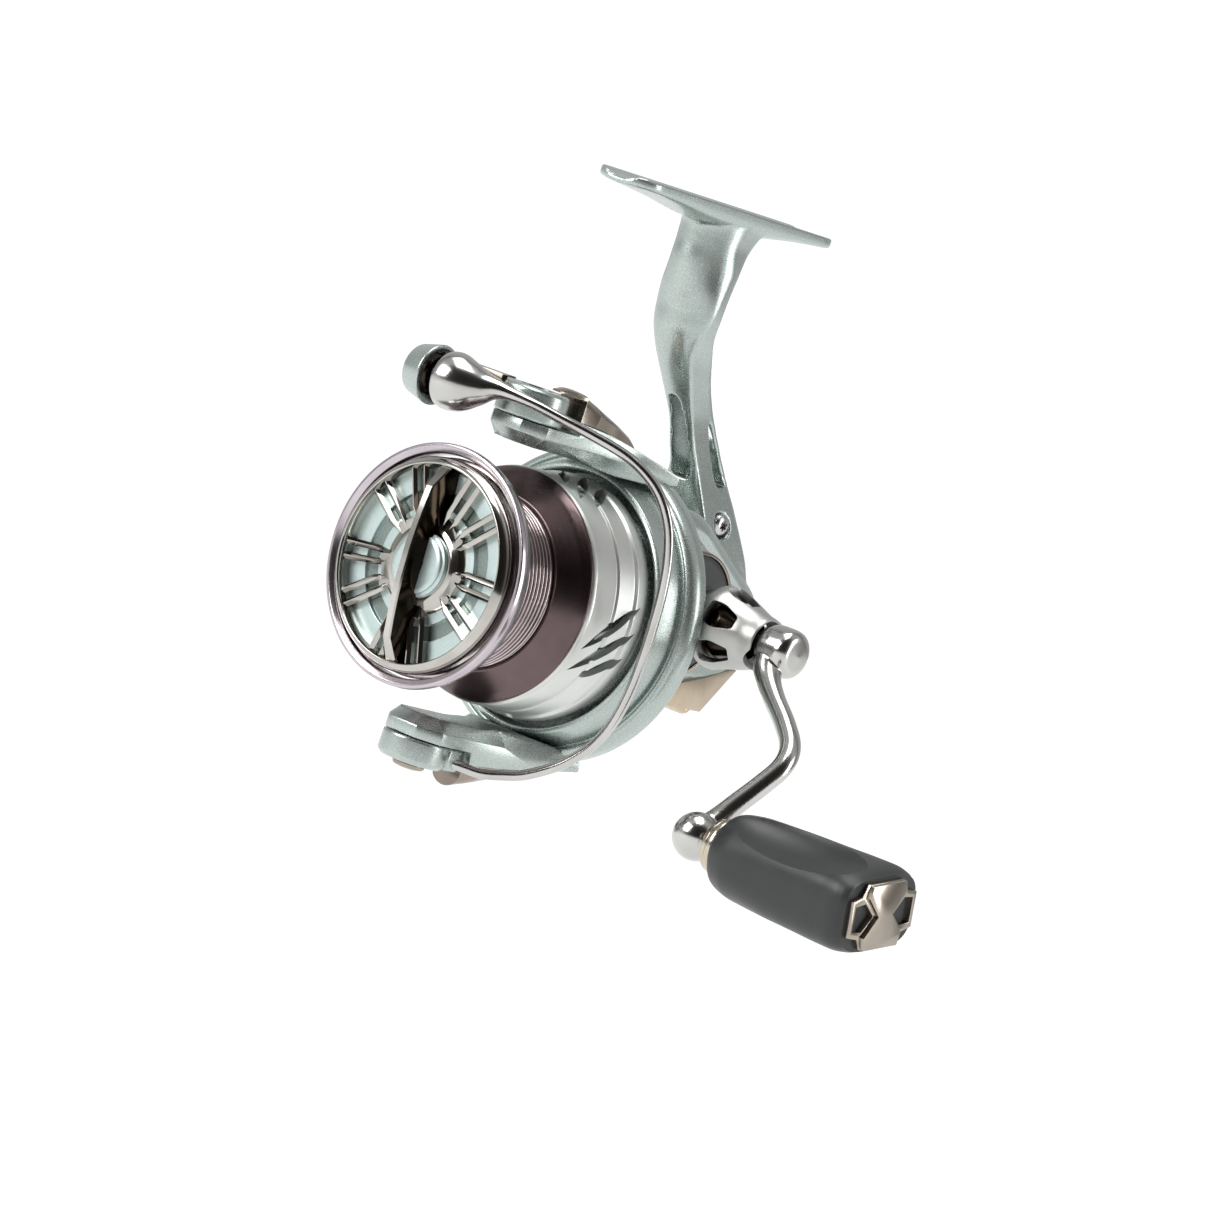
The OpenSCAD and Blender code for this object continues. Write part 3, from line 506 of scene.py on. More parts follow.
# height, front, crease, back, half width at the crease, half width at the back
STEM = [
    (-1.6, -8.6, 3.0, 12.6, 6.9, 6.0), (-4.2, -6.0, 2.2, 9.4, 6.7, 5.9), (-8, -5.3, 1.8, 7.5, 6.5, 5.9),
    (-12, -5.1, 2.9, 6.5, 6.9, 6.3), (-17, -4.1, 2.0, 5.6, 7.2, 6.6), (-21, -3.0, 1.65, 5.7, 7.0, 6.4),
    (-25, -2.5, 1.5, 6.8, 6.1, 5.5), (-29, -0.6, 2.1, 10.0, 4.7, 4.1), (-33, 2.5, 4.8, 12.7, 4.0, 3.4),
    (-37, 6.0, 7.7, 16.0, 3.4, 2.8), (-41, 9.6, 10.7, 19.6, 3.0, 2.5), (-46, 12.5, 13.9, 23.9, 3.2, 2.7),
    (-50, 15.2, 16.7, 27.3, 3.7, 3.2), (-54, 16.6, 18.2, 29.8, 5.2, 4.8), (-59, 18.0, 19.5, 32.4, 7.2, 6.8),
    (-64, 19.0, 20.5, 35.8, 8.2, 7.8), (-70, 20.5, 22.0, 39.6, 8.0, 7.4),
]
BACK_ROUND = 1.4


def stem():
    at = [blend_values([(-row[0], row[i]) for row in STEM]) for i in range(1, 6)]
    rings = []
    for z in np.linspace(1.6, 70, 76):
        front, crease, back, w, wr = [read(z) for read in at]
        ring = []
        for k in range(21):
            a = radians(-90 + 9 * k)
            ring.append((w * sin(a), crease - (crease - front) * cos(a) ** 1.12, -z))
        for k in range(1, 6):
            t = k / 6
            ring.append((w + (wr - w) * t, crease + (back - BACK_ROUND - crease) * t, -z))
        for k in range(9):
            a = radians(90 - 22.5 * k)
            ring.append((wr * sin(a), back - BACK_ROUND + BACK_ROUND * max(0.0, cos(a)) ** 0.7, -z))
        for k in range(5, 0, -1):
            t = k / 6
            ring.append((-(w + (wr - w) * t), crease + (back - BACK_ROUND - crease) * t, -z))
        rings.append(ring)
    return build("stem", *skin(rings))


def trimmed(y, z, g=0.0):
    """A point of the case's outline, held inside the slanted corner below its rear end."""
    over = max(0.0, CORNER_Y * y + CORNER_Z * z - CORNER_OUT + g)
    return y - CORNER_Y * over, z - CORNER_Z * over


def case_outline(g, front):
    """The gear case's outline in Y-Z, drawn in by g."""
    out = []
    rise = REAR_Y - CRANK_Y
    lean = atan2(SHAFT_Z - CRANK_Z, rise)
    spread = acos((CASE_R - REAR_R) / hypot(rise, SHAFT_Z - CRANK_Z))
    for k in range(25):
        a = lean + spread - 2 * spread * k / 24
        out.append((REAR_Y + (REAR_R - g) * cos(a), SHAFT_Z + (REAR_R - g) * sin(a)))
    r = CASE_R - g
    stop = acos(max(-1, (front - CRANK_Y) / r))
    for k in range(29):
        a = (lean - spread) - ((lean - spread) + stop) * k / 28
        out.append((CRANK_Y + r * cos(a), CRANK_Z + r * sin(a)))
    for k in range(29):
        a = stop - (stop - (lean + spread)) * k / 28
        out.append((CRANK_Y + r * cos(a), CRANK_Z + r * sin(a)))
    return [trimmed(y, z, g) for y, z in out]


def taper(y, side=1):
    """How much the crank side of the case has narrowed at y."""
    return max(0.0, y - TAPER_START) * TAPER if side > 0 else 0.0


def domed_case(name, low, high, side, front):
    """The case's shell, its outer edge run round in steps so that it reads as a casting."""
    outer = high if side > 0 else low
    inner = low if side > 0 else high
    rings = [[(inner, y, z) for y, z in case_outline(0, front)]]
    depth = 3.2
    for k in range(8):
        a = radians(90 * k / 7)
        x = outer - side * depth * (1 - sin(a))
        drawn_in = case_outline(depth * (1 - cos(a)), front)
        rings.append([(x - taper(y, side), y, z) for y, z in drawn_in])
    return build(name, *skin(rings))


def casting():
    body = foot()
    case = domed_case("case", -1.0, CASE_HALF, 1, -1.6)
    boss = revolve("boss", [(0, 11.1), (13.6, 11.1), (13.2, 14.2, 1.6), (12.35, 16.4, 0.8), (12.3, 18, 0.3),
        (0, 18)], ON_CRANK, 96, loop=False)
    nose = revolve("nose", [(0, -13), (18.8, -13, 0.8), (18.8, 0.4), (0, 0.4)], ON_SHAFT, 96, loop=False)
    neck = stem()
    union(body, neck, case, boss, nose)
    # hollows: gear room, crank bore, seat of the dark plate, bearing room in the nose
    inside = case_outline(WALL, 0.4)
    room = build("room", *skin([[(-30, y, z) for y, z in inside],
        [(CASE_HALF - WALL - taper(y), y, z) for y, z in inside]]))
    open_side = slab_x("open_side", case_outline(-0.4, 0.4), -30, -1.0)
    bore = plug("bore", BEARING_BORE, 5, 25, ON_CRANK)
    seat = plug("seat", 11.6, 17.6, 25, ON_CRANK, 96)
    hollow = plug("hollow", 17.4, -11, -1.6, ON_SHAFT, 64)
    front_bore = plug("front_bore", 6.45, -20, -8, ON_SHAFT)
    rear_bore = plug("rear_bore", 2.95, -8, 6, ON_SHAFT)
    cut(body, room, open_side, bore, hollow, front_bore, rear_bore)
    # windows of the stem: front slot, the wedge in each side, the screw's pocket
    slot = rounded([(-1.5, -37, 1.0), (1.0, -37, 1.0), (2.1, -45, 3), (2.2, -51.5, 0.8), (-2.4, -51.5, 0.8),
        (-2.1, -45, 3)])
    rings = [[(x, y, z) for x, z in slot] for y in (2, 21)]
    cut(body, build("slot", *skin(rings)))
    wedge = rounded([(15.0, -38.4, 0.5), (19.3, -43.0, 2), (26.0, -51.0, 0.5), (23.4, -51.6, 0.8),
        (17.6, -43.2, 2)])
    cut(body, slab_x("wedge", wedge, -20, 20))
    pocket = plug("pocket", 2.5, 5.2, 14, along_x(0, *STEM_SCREW), 40)
    cut(body, pocket)
    cast(body, VOXEL, 3)
    cut(body, seat)
    recess = rounded([(-2.4, -16, 2.2), (2.4, -16, 2.2), (2.4, 16, 2.2), (-2.4, 16, 2.2)], 6)
    cut(body, prism("recess", recess, -1.75, 3))
    body.name = "reel_casting"
    return dress(body, "seafoam_paint", "root", "frame", crease=50)


casting()


def side_plate():
    body = domed_case("side_plate", -CASE_HALF, -1.05, -1, 0.42)
    boss = revolve("side_boss", [(0, -15), (7.3, -15, 0.4), (7.5, -14.4, 0.3), (8.6, -11, 0.5), (0, -11)],
        ON_CRANK, 72, loop=False)
    union(body, boss)
    cut(body, slab_x("room", case_outline(WALL, 0.42), -CASE_HALF + WALL, 5))
    bore = plug("bore", BEARING_BORE, -25, -5, ON_CRANK)
    cut(body, bore)
    for y, z in COVER_SCREWS:
        cut(body, revolve("pocket", [(0, -20), (2.3, -20), (2.3, -12.1), (1.2, -12.1), (1.2, -5), (0, -5)],
            along_x(0, y, z), 32, loop=False))
    cast(body, VOXEL, 5)
    # shallow sculpted panel that follows the case's outline
    panel = slab_x("panel", case_outline(6.5, 6), -20, -CASE_HALF + 0.35)
    keep = plug("keep", 9.6, -30, 0, ON_CRANK, 72)
    cut(panel, keep)
    cut(body, panel)
    bevel(body, 0.12, 1, 60)
    return dress(body, "seafoam_paint", "root", "side_cover", crease=50)


side_plate()
for i, (y, z) in enumerate(COVER_SCREWS):
    spot = move(-CASE_HALF - 0.1, y, z) @ turn(-90, "Y")
    star_screw(f"cover_screw_{i + 1}", spot, 1.95, 0.75, "root", "steel", "side_cover_screws")
star_screw("stem_screw_head", along_x(5.5, *STEM_SCREW), 2.15, 1.5, "root", "steel", "stem_screw")
star_screw("rear_screw_head", move(0, REAR_Y + REAR_R + 1.3, SHAFT_Z) @ turn(-90, "X"), 2.05, 0.95, "root",
    "steel", "rear_cover_screw")

# dark plate round the crank, its nickel ring and the cap on the far side
dress(revolve("crank_plate", [(6.45, 17.62), (11.35, 17.62, 0.1), (11.45, 18.3, 0.2), (10.6, 18.62, 0.15),
    (7.2, 18.62, 0.15), (6.9, 18.8, 0.1), (6.45, 18.8, 0.1)], ON_CRANK), "dark_plate", "root", "boss_plate")
dress(revolve("crank_plate_ring", [(11.5, 17.9), (12.2, 17.9, 0.1), (12.15, 18.6, 0.3), (11.7, 18.8, 0.2),
    (11.5, 18.5, 0.1)], ON_CRANK), "dark_nickel", "root")
dress(revolve("far_cap", [(0, -16.1), (3.0, -16.15, 0.3), (3.6, -16.6, 0.3), (6.4, -16.6, 0.3),
    (7.3, -16.1, 0.4), (7.4, -15.1, 0.1), (0, -15.1)], ON_CRANK, 96, loop=False), "dark_plate", "root",
    "port_cap")


def tail_plate():
    """The bronze plate that wraps the case's lower rear edge."""
    rings = []
    inner, outer, left, right = REAR_R + 0.05, REAR_R + 1.35, -11.0, 7.2
    for k in range(45):
        a = radians(16 - 118 * k / 44)
        end = min(k, 44 - k)
        thin = min(1.0, 0.35 + 0.2 * end)
        trim = 0.9 if end == 0 else 0.3 if end == 1 else 0
        w0, w1 = left + trim, right - trim
        half = inner + (outer - inner) * 0.5 * thin
        full = inner + (outer - inner) * thin
        section = rounded([(w0, inner, 0.1), (w0, half, 0.4), (w0 + 1.3, full, 0.6), (w1 - 1.3, full, 0.6),
            (w1, half, 0.4), (w1, inner, 0.1)], 3)
        rings.append([(x, *trimmed(REAR_Y + r * cos(a), SHAFT_Z + r * sin(a), inner - r))
                      for x, r in section])
    body = build("tail_plate", *skin(rings))
    # its cheek on the crank side
    cheek = [p for p in case_outline(-0.12, 6) if p[1] < -83.8 and p[0] > 4]
    cheek += [(8, -91.2), (15, -89.8), (22, -88.4), (30.5, -86.6), (40, -84.0)]
    low = [(-0.9, y, z) for y, z in cheek]
    high = [(CASE_HALF + 0.15 - taper(y), y, z) for y, z in cheek]
    union(body, bevel(build("cheek", *skin([low, high])), 1.0, 3, 50))
    return dress(body, "bronze_plate", "root", "rear_cover", crease=40)


tail_plate()

# ---------- spool ----------

ribs = []
for k in range(11):
    y = -41.2 + 1.05 * k
    ribs += [(16.6, y - 0.3, 0.2), (16.6, y + 0.25, 0.2), (16.0, y + 0.4, 0.08), (16.0, y + 0.6, 0.08)]
dress(revolve("spool_arbor", [(12.2, -42.9), (19.8, -44.3, 0.2), (20.8, -44.1, 0.3), (16.9, -42.6, 0.6),
    *ribs, (16.8, -29.6, 0.4), (12.2, -29.6)], ON_SHAFT, 200), "arbor_metal", "spool", "spool")
dress(revolve("spool_flange", [(12.2, -29.9), (17.0, -29.9, 0.2), (17.6, -29.5, 0.4), (21.0, -27.3, 0.5),
    (22.1, -26.2, 0.35), (22.35, -25.7, 0.15), (22.25, -25.45, 0.1), (12.2, -25.45)], ON_SHAFT, 220),
    "spool_anodised", "spool")
dress(revolve("spool_hub", [(3.1, -31), (12.3, -31), (12.3, -27.4), (3.1, -27.4)], ON_SHAFT, 96),
    "inner_plastic", "spool")
dress(revolve("spool_lip", [(20.98, -46.5, 0.1), (21.2, -47.2, 0.15), (22.2, -47.78, 0.2),
    (22.85, -47.7, 0.2), (23.0, -46.6, 0.3), (22.3, -44.3, 0.5), (21.6, -44.1, 0.2), (20.98, -44.05, 0.1)],
    ON_SHAFT, 240), "lip_anodised", "spool", "lip_ring")


def skirt():
    body = revolve("skirt", [(15, -25.4), (22.0, -25.4, 0.1), (22.4, -25.2, 0.15), (22.62, -24.6, 0.2),
        (22.72, -18.9, 0.1), (22.35, -18.6, 0.1), (22.35, -18.2, 0.1), (22.8, -17.9, 0.1),
        (23.0, -13.6, 0.2), (23.5, -13.1, 0.15), (23.5, -10.3, 0.2), (23.2, -9.8, 0.15), (22.1, -9.8, 0.1),
        (21.6, -12, 0.2), (21.4, -24), (15, -24)], ON_SHAFT, 220)
    for around in range(0, 360, 90):
        for angle, middle, length in SLOTS:
            h = length / 2
            leaf = rounded([(-h, 0, 0.3), (-0.35 * h, 1.2, 2.5), (0.5 * h, 1.1, 2.0), (h, 0.15, 0.3),
                (0.4 * h, -1.1, 2.4), (-0.45 * h, -1.05, 2.0)], 5)
            spot = (ON_SHAFT @ turn(around + angle, "Z") @ move(18, 0, middle) @ turn(90, "Y")
                @ turn(SLOT_LEAN, "Z"))
            cut(body, prism("leaf", leaf, 0, 8, spot))
    bevel(body, 0.07, 1, 50)
    return dress(body, "skirt_metal", "spool", "spool_skirt", crease=28)


skirt()

# ---------- drag knob ----------

dress(revolve("knob_ring", [(18.1, -45.0), (18.1, -48.1, 0.3), (18.45, -49.1, 0.3), (18.7, -49.6, 0.1),
    (19.05, -49.6, 0.12), (19.8, -48.9, 0.6), (20.35, -47.5, 0.5), (20.2, -46.4, 0.4), (20.1, -45.0)],
    ON_SHAFT, 240), "knob_chrome", "drag")
# the knob's face takes the paler copy of the seafoam paint: painted light
dress(revolve("knob_disc", [(6.9, -45.1), (18.2, -45.1), (18.2, -46.9, 0.1), (14.3, -46.9, 0.1),
    (14.1, -46.3, 0.1), (11.4, -46.3, 0.1), (11.2, -47.0, 0.1), (6.9, -47.0)], ON_SHAFT, 200), "face_paint",
    "drag", "drag_knob_face")
# a thin ring in the darker seafoam copy laid in the recess: painted shade
dress(revolve("knob_disc_band", [(11.45, -46.2), (14.05, -46.2), (14.05, -46.36, 0.05),
    (11.45, -46.36, 0.05)], ON_SHAFT, 200), "band_paint", "drag")
dress(revolve("knob_boss", [(3.6, -44.9), (8.0, -44.9), (9.6, -46.6, 0.4), (8.7, -47.9, 0.5),
    (6.9, -48.6, 0.3), (3.6, -48.6)], ON_SHAFT, 120), "knob_chrome", "drag")


def spokes():
    """Ten pairs of bars in five groups, each group joined near the middle by a flared web."""
    whole = None
    for group in range(5):
        middle = 54 + KNOB_TURN + 72 * group
        for pair in (-14.6, 14.6):
            spot = ON_SHAFT @ turn(-(middle + pair), "Z")
            for s in (-1, 1):
                bar = []
                for r, half, top in ((7.6, 0.4, -48.1), (9.4, 0.55, -48.5), (11, 0.62, -48.9),
                        (18.4, 0.66, -48.9)):
                    c = s * (0.65 + 0.72 * min(1, (r - 7.6) / 4))
                    bar.append([(r, c - half, -46.6), (r, c + half, -46.6), (r, c + half, top + 0.6),
                        (r, c + 0.12, top), (r, c - 0.12, top), (r, c - half, top + 0.6)])
                piece = build("bar", *skin(bar), spot)
                whole = piece if whole is None else union(whole, piece)
        web = rounded([(7.0, -2.6, 0.3), (9.8, -3.0, 0.8), (9.2, 0, 1.6), (9.8, 3.0, 0.8), (7.0, 2.6, 0.3)])
        whole = union(whole, prism("web", web, -48.3, -46.7, ON_SHAFT @ turn(-middle, "Z")))
    bevel(whole, 0.08, 1, 50)
    whole.name = "knob_spokes"
    return dress(whole, "knob_chrome", "drag", crease=25)


spokes()


def fin():
    """The blade that turns the knob: a narrow ridge between two tall flanks."""
    half = [(3, -53.75, 2.15, 0.75), (7, -53.45, 2.0, 0.75), (11, -52.95, 1.95, 0.75),
        (14.4, -52.4, 1.9, 0.8), (18.2, -49.6, 1.6, 1.1), (18.5, -49.3, 1.5, 1.1)]
    rings = []
    for z, top, low, high in [(-z, *rest) for z, *rest in reversed(half)] + half:
        rings.append([(-low, -46.8, z), (low, -46.8, z), (high + 0.1, top + 0.3, z), (high - 0.15, top, z),
            (-high + 0.15, top, z), (-high - 0.1, top + 0.3, z)])
    stand = move(0, 0, SHAFT_Z) @ turn(-KNOB_TURN, "Y")
    # the flanks take the dark chrome copy, a painted dark reflection; the ridge keeps the bright knob
    # chrome
    body = build("knob_fin", *skin([ring[:3] + ring[5:] for ring in rings]), stand)
    dress(body, "smoked_chrome", "drag", "drag_knob", crease=12)
    ridge = build("knob_fin_ridge", *skin([ring[2:] for ring in rings]), stand)
    return dress(ridge, "knob_chrome", "drag", crease=16)


fin()
# the nut takes the paler copy of the seafoam paint: painted light on its front face
dress(revolve("knob_nut", [(3.6, -45), (6.75, -45), (6.75, -48.4, 0.15), (6.2, -48.6, 0.15),
    (6.2, -49.2, 0.15), (5.6, -49.35, 0.15), (5.6, -49.8, 0.2), (4.9, -50.0, 0.2), (1.7, -50.0),
    (1.7, -49)], ON_SHAFT, 120), "face_paint", "drag", "drag_nut")

# ---------- rotor ----------


def arm_plan(w):
    out = [(-13.5, -1), (-9.4, -8), (-w, -16), (-w, PIVOT_Y)]
    out += [(-w, PIVOT_Y - 1.6), (-w + 3.4, PIVOT_Y - w + 1.4), (w - 3.4, PIVOT_Y - w + 1.4),
        (w, PIVOT_Y - 1.6)]
    out += [(w, PIVOT_Y), (w, -16), (9.4, -8), (13.5, -1)]
    return out


def arm(side):
    profile = [(-1, 27.4), (-6, 26), (-12, 25.6), (-22, 26.5), (-41, 26.5), (-41, 31), (-25.2, 31),
        (-24.6, 33.4), (-16, 32.8), (-8, 31.2), (-1, 29.2)]
    body = slab_x("arm", profile, -14, 14, on_side(side))
    steps = ((20, ARM_END_R - 2.3), (26.4, ARM_END_R - 2.3), (28.7, ARM_END_R), (40, ARM_END_R))
    common(body, build("plan", *skin([[(x, y, z) for x, y in arm_plan(w)] for z, w in steps]),
        on_side(side)))
    return bevel(body, 0.3, 2, 30)


def rotor():
    shell = [(2.62, -19), (19.4, -19, 0.4), (20.4, -18.2, 0.5), (20.4, -6.4, 0.5), (22.0, -5.6, 0.8),
        (24.4, -6.0, 0.3), (24.4, -9.6, 0.2), (24.9, -9.95, 0.2), (25.7, -9.7, 0.3), (26.6, -6.4, 0.8),
        (27.0, -5.2, 0.3), (27.25, -4.3, 0.15), (27.75, -4.3, 0.15), (28.1, -5.1, 0.4), (29.3, -4.6, 0.7),
        (29.98, -3.0, 0.6), (29.98, -0.9, 0.4), (29.4, -0.15, 0.3), (26.4, -0.15, 0.2), (26.2, -4.0, 0.6),
        (19.3, -4.0, 0.3), (19.3, -17), (2.62, -17)]
    body = revolve("rotor_body", shell, ON_SHAFT, 200)
    union(body, arm(1), arm(-1))
    return dress(body, "seafoam_paint", "rotor", "rotor", crease=32)


rotor()


def arm_plate(side):
    """The dark plate that covers an arm, its outer face dished along the middle."""
    top = blend_values([(-30.5, 38.1), (-27, 38.7), (-23, 38.3), (-16, 36.4), (-8, 33.8), (-3, 31.6)])
    seat = blend_values([(-24.4, 33.45), (-16, 32.86), (-8, 31.27), (-3, 29.88)])
    left = blend_values([(-30.5, 1.4), (-24.4, -1.2), (-21.3, -2.8), (-16, -5.3), (-12, -5.7), (-6, -4.6),
        (-3, -3.2)])
    right = blend_values([(-30.5, 3.4), (-24.4, 5.4), (-16, 5.7), (-12, 5.7), (-6, 4.6), (-3, 3.2)])
    rings = []
    tip = list(np.linspace(-30.4, -24.4, 10)) if side > 0 else []
    for y in tip + list(np.linspace(-24.3, -3.05, 40)):
        a, b, z0, z1 = left(y), right(y), seat(y) if y > -24.35 else 37.6, top(y)
        ring = [(a, y, z0), (b, y, z0), (b, y, z0 + (z1 - z0) * 0.55)]
        for k in range(15):
            t = k / 14
            x = b + (a - b) * t
            crown = (z1 - z0) * (0.55 + 0.45 * sin(pi * t) ** 0.5)
            dish = 0.5 * max(0.0, 1 - abs(t - 0.5) / 0.22) if -21 < y < -7 else 0
            ring.append((x, y, z0 + crown - dish))
        rings.append(ring)
    body = build("arm_plate_upper" if side > 0 else "arm_plate_lower", *skin(rings), on_side(side))
    return dress(body, "dark_nickel", "rotor", "arm_cover_upper" if side > 0 else "arm_cover_lower",
        crease=35)


arm_plate(1)
arm_plate(-1)

# ---------- bail ----------

# middle line of the bow, from the line roller round the crank side to the lower arm:
# points chosen in the photograph's solved view, and rounded
WIRE = [(-9.4, -44.1, -46.5), (-5.4, -43.1, -46), (-0.7, -41.9, -45.3), (5.2, -39.5, -45.6),
    (10.5, -35.7, -46.6), (15, -31.5, -47.6), (19.8, -27.1, -49), (23.8, -24.6, -51), (27, -22.4, -54),
    (29.4, -20.4, -58.6), (30.7, -19, -64), (31.2, -17.9, -70), (31.1, -17, -76.5), (30.9, -16.4, -83),
    (30.3, -15.9, -89.5), (29, -15.8, -96), (26.8, -16.4, -101.4), (24.2, -17.4, -105.2),
    (21.2, -18.7, -108.3), (17, -20.8, -111.4), (13.6, -22.5, -112.8), (10.4, -24.5, -113.8),
    (7.4, -26.1, -113.9), (4.4, -27.7, -113.9)]
BOW = [(-11.55, ROLLER_Y, SHAFT_Z + ROLLER_H), (-9.6, -44.7, -46.65), (-7.4, -44.2, -46.5),
    (-4.4, -43.2, -46.0), *WIRE[2:]]
# radius along the bow: first the cone, then the wire
swell = blend_values([(0, 4.7), (0.4, 5.3), (1.6, 5.55), (3.4, 5.35), (5.4, 4.6), (7.6, 3.4), (9.8, 2.2),
    (12.2, 1.45), (15, 1.1), (18, 1.0), (200, 1.0)])
dress(tube("bail_bow", curve_through(BOW, 8), swell, 36), "polished_metal", "bail", "bail_wire",
    "bail_cone", crease=40)


def bail_lever():
    hub = revolve("bail_lever", [(0, 31.2), (6.4, 31.2, 0.2), (6.6, 31.5, 0.2), (6.6, 36.6, 0.5),
        (6.0, 37.2, 0.5), (0, 37.2)], AT_PIVOT, 96, loop=False)
    link = prism("link", rounded([(-3, -38.9, 1), (-15.6, -41.6, 1), (-17.5, -41.6, 1), (-17.5, -36.6, 1.5),
        (-4, -31.2, 3)]), 34.6, 37.5, on_side(1))
    ear = prism("ear", rounded([(-17.5, -46.4, 0.8), (-15.65, -46.4, 0.8), (-15.65, -36.9, 0.8),
        (-17.5, -36.9, 0.8)]), 33.4, 37.5, on_side(1))
    boss = revolve("boss", [(0, -17.5), (3.2, -17.5, 0.2), (3.2, -15.65, 0.2), (0, -15.65)], ON_ROLLER, 48,
        loop=False)
    union(link, ear, boss)
    bevel(link, 0.5, 2, 35)
    cut(link, plug("clear", 6.3, 30, 40, AT_PIVOT, 64))
    link.name = "bail_link"
    dress(link, "dark_nickel", "bail", crease=30)
    cut(hub, plug("seat", 3.3, 35.6, 45, AT_PIVOT))
    return dress(hub, "seafoam_paint", "bail", "bail_arm", crease=30)


bail_lever()


def bail_foot():
    plate = revolve("bail_foot", [(0, -31.25), (6.3, -31.25, 0.2), (6.5, -31.6, 0.3), (6.5, -35.2, 0.3),
        (5.7, -36.0, 0.4), (0, -36.0)], AT_PIVOT, 96, loop=False)
    block = prism("block", rounded([(1.5, -29.9, 0.8), (5.9, -29.9, 0.8), (5.9, -25.2, 1.6),
        (1.5, -25.2, 1.6)]), 31.25, 35.5, on_side(-1))
    union(plate, bevel(block, 0.9, 3, 35))
    return dress(plate, "seafoam_paint", "bail", "bail_holder", crease=30)


bail_foot()
dress(revolve("roller_end", [(0, -19.15), (3.7, -19.15, 0.5), (4.7, -18.6, 0.6), (5.6, -14.9, 0.4),
    (5.8, -14.1, 0.2), (5.65, -13.8, 0.12), (5.1, -13.8, 0.1), (4.4, -14.3, 0.1), (4.4, -15.35),
    (0, -15.35)], ON_ROLLER, 96, loop=False), "seafoam_paint", "bail", "roller_cap")
dress(revolve("line_guide", [(2.35, -15.22), (3.95, -15.22, 0.15), (4.1, -14.9, 0.2), (3.4, -14.5, 0.2),
    (3.1, -14.0, 0.3), (3.1, -13.2, 0.3), (3.4, -12.6, 0.2), (4.1, -12.2, 0.2), (3.95, -11.9, 0.15),
    (2.35, -11.9)], ON_ROLLER, 96), "roller_black", "roller", "line_roller")
star_screw("bail_screw_upper", move(0, PIVOT_Y, SHAFT_Z + 35.65), 3.15, 1.4, "rotor", "dark_nickel",
    "bail_pivot_screws")
star_screw("bail_screw_lower", move(0, PIVOT_Y, SHAFT_Z - 36.05) @ turn(180, "X"), 3.15, 1.3, "rotor",
    "dark_nickel", "bail_pivot_screws")

# ---------- handle ----------

collar = []
for k in range(4):
    x = 18.3 + 1.75 * k
    collar += [(6.3, x, 0.25), (6.3, x + 1.0, 0.25), (5.5, x + 1.25, 0.12), (5.5, x + 1.6, 0.12)]
dress(revolve("crank_collar", [(3.1, 18.15), *collar, (5.6, 25.3, 0.1), (3.1, 25.3)], ON_CRANK, 96),
    "dark_plate", "handle", "handle_sleeve")


def hub():
    body = revolve("crank_hub", [(3.3, 25.5), (7.2, 25.5, 0.4), (8.0, 26.2, 0.6), (8.1, 28.4, 0.8),
        (6.9, 32.0, 1.2), (5.5, 36.0, 1.2), (5.2, 37.8, 0.5), (5.0, 38.6, 0.3), (4.4, 38.4, 0.3),
        (4.0, 36.6, 0.5), (5.1, 33.2, 0.6), (6.6, 28.8, 0.8), (6.6, 27.2, 0.4), (3.3, 26.9)], ON_CRANK, 160)
    window = rounded([(27.9, -2.2, 0.6), (30.4, -2.6, 0.8), (34.0, -1.3, 0.6), (34.0, 1.3, 0.6),
        (30.4, 2.6, 0.8), (27.9, 2.2, 0.6)], 5)
    for k in range(6):
        spot = move(0, CRANK_Y, CRANK_Z) @ turn(60 * k + WINDOW_TURN, "X")
        rings = [[(x, y, r) for x, y in window] for r in (3.6, 12)]
        cut(body, build("window", *skin(rings), spot))
    # room for the crank arm as it folds
    near = blend_values([(0, 3.8), (4, 3.1), (20, 2.6)])
    for angle in (0, 10, 20, 30):
        fold = IN_CRANK @ move(JOINT_X, 0, 0) @ turn(angle, "Y") @ move(-JOINT_X, 0, 0)
        path = [(JOINT_X, 0, -1.5), (42.2, 0, -4.2), (44.6, 0, -7.0), (48.6, 0, -10.2)]
        cut(body, tube("fold_room", curve_through(path, 5), near, 24, fold))
    bevel(body, 0.3, 3, 45)
    return dress(body, "satin_metal", "handle", "handle_hub", crease=40)


hub()
# a dark sheet under the hub's windows: painted shade that makes them read as deep holes
dress(revolve("hub_window_shade", [(3.3, 27.5), (5.7, 27.5, 0.3), (5.6, 29.5, 0.4), (4.5, 33.0, 0.4),
    (4.1, 34.2, 0.1), (3.3, 34.2)], ON_CRANK, 96), "smoked_chrome", "handle")


def crank():
    line = [(JOINT_X, 0, -1.5), (42.2, 0, -4.2), (44.6, 0, -7.0), (48.6, 0, -10.2), (54.6, 0, -14.4),
        (59.0, 0, -18.4), (60.6, 0, -22.8), (59.6, 0, -28.4), (57.8, 0, -35), (KNOB_X, 0, -CRANK_LEN)]
    thick = blend_values([(0, 3.4), (2.5, 3.0), (6, 2.35), (11, 2.1), (20, 2.05), (34, 2.0), (44, 2.1),
        (48, 2.5), (60, 2.8)])
    body = tube("crank_rod", curve_through(line, 7), thick, 28, IN_CRANK)
    knuckle = revolve("knuckle", [(0, -4.6)] + arc(4.75, range(15, 91, 15))
        + [(4.75, 2.6, 0.4), (4.5, 3.9, 0.8), (3.4, 4.7, 0.9), (0, 4.9)],
        IN_CRANK @ move(JOINT_X, 0, 0) @ turn(90, "Y"), 64, loop=False)
    ball = revolve("ball", [(0, -4.6)] + arc(4.6, range(10, 150, 10)) + [(2.6, 4.75), (0, 4.75)],
        IN_CRANK @ move(KNOB_X, 0, -CRANK_LEN) @ turn(90, "Y"), 72, loop=False)
    union(body, knuckle, ball)
    cast(body, 0.24, 5)
    return dress(body, "polished_metal", "crank", "crank_arm", "fold_pin", crease=60)


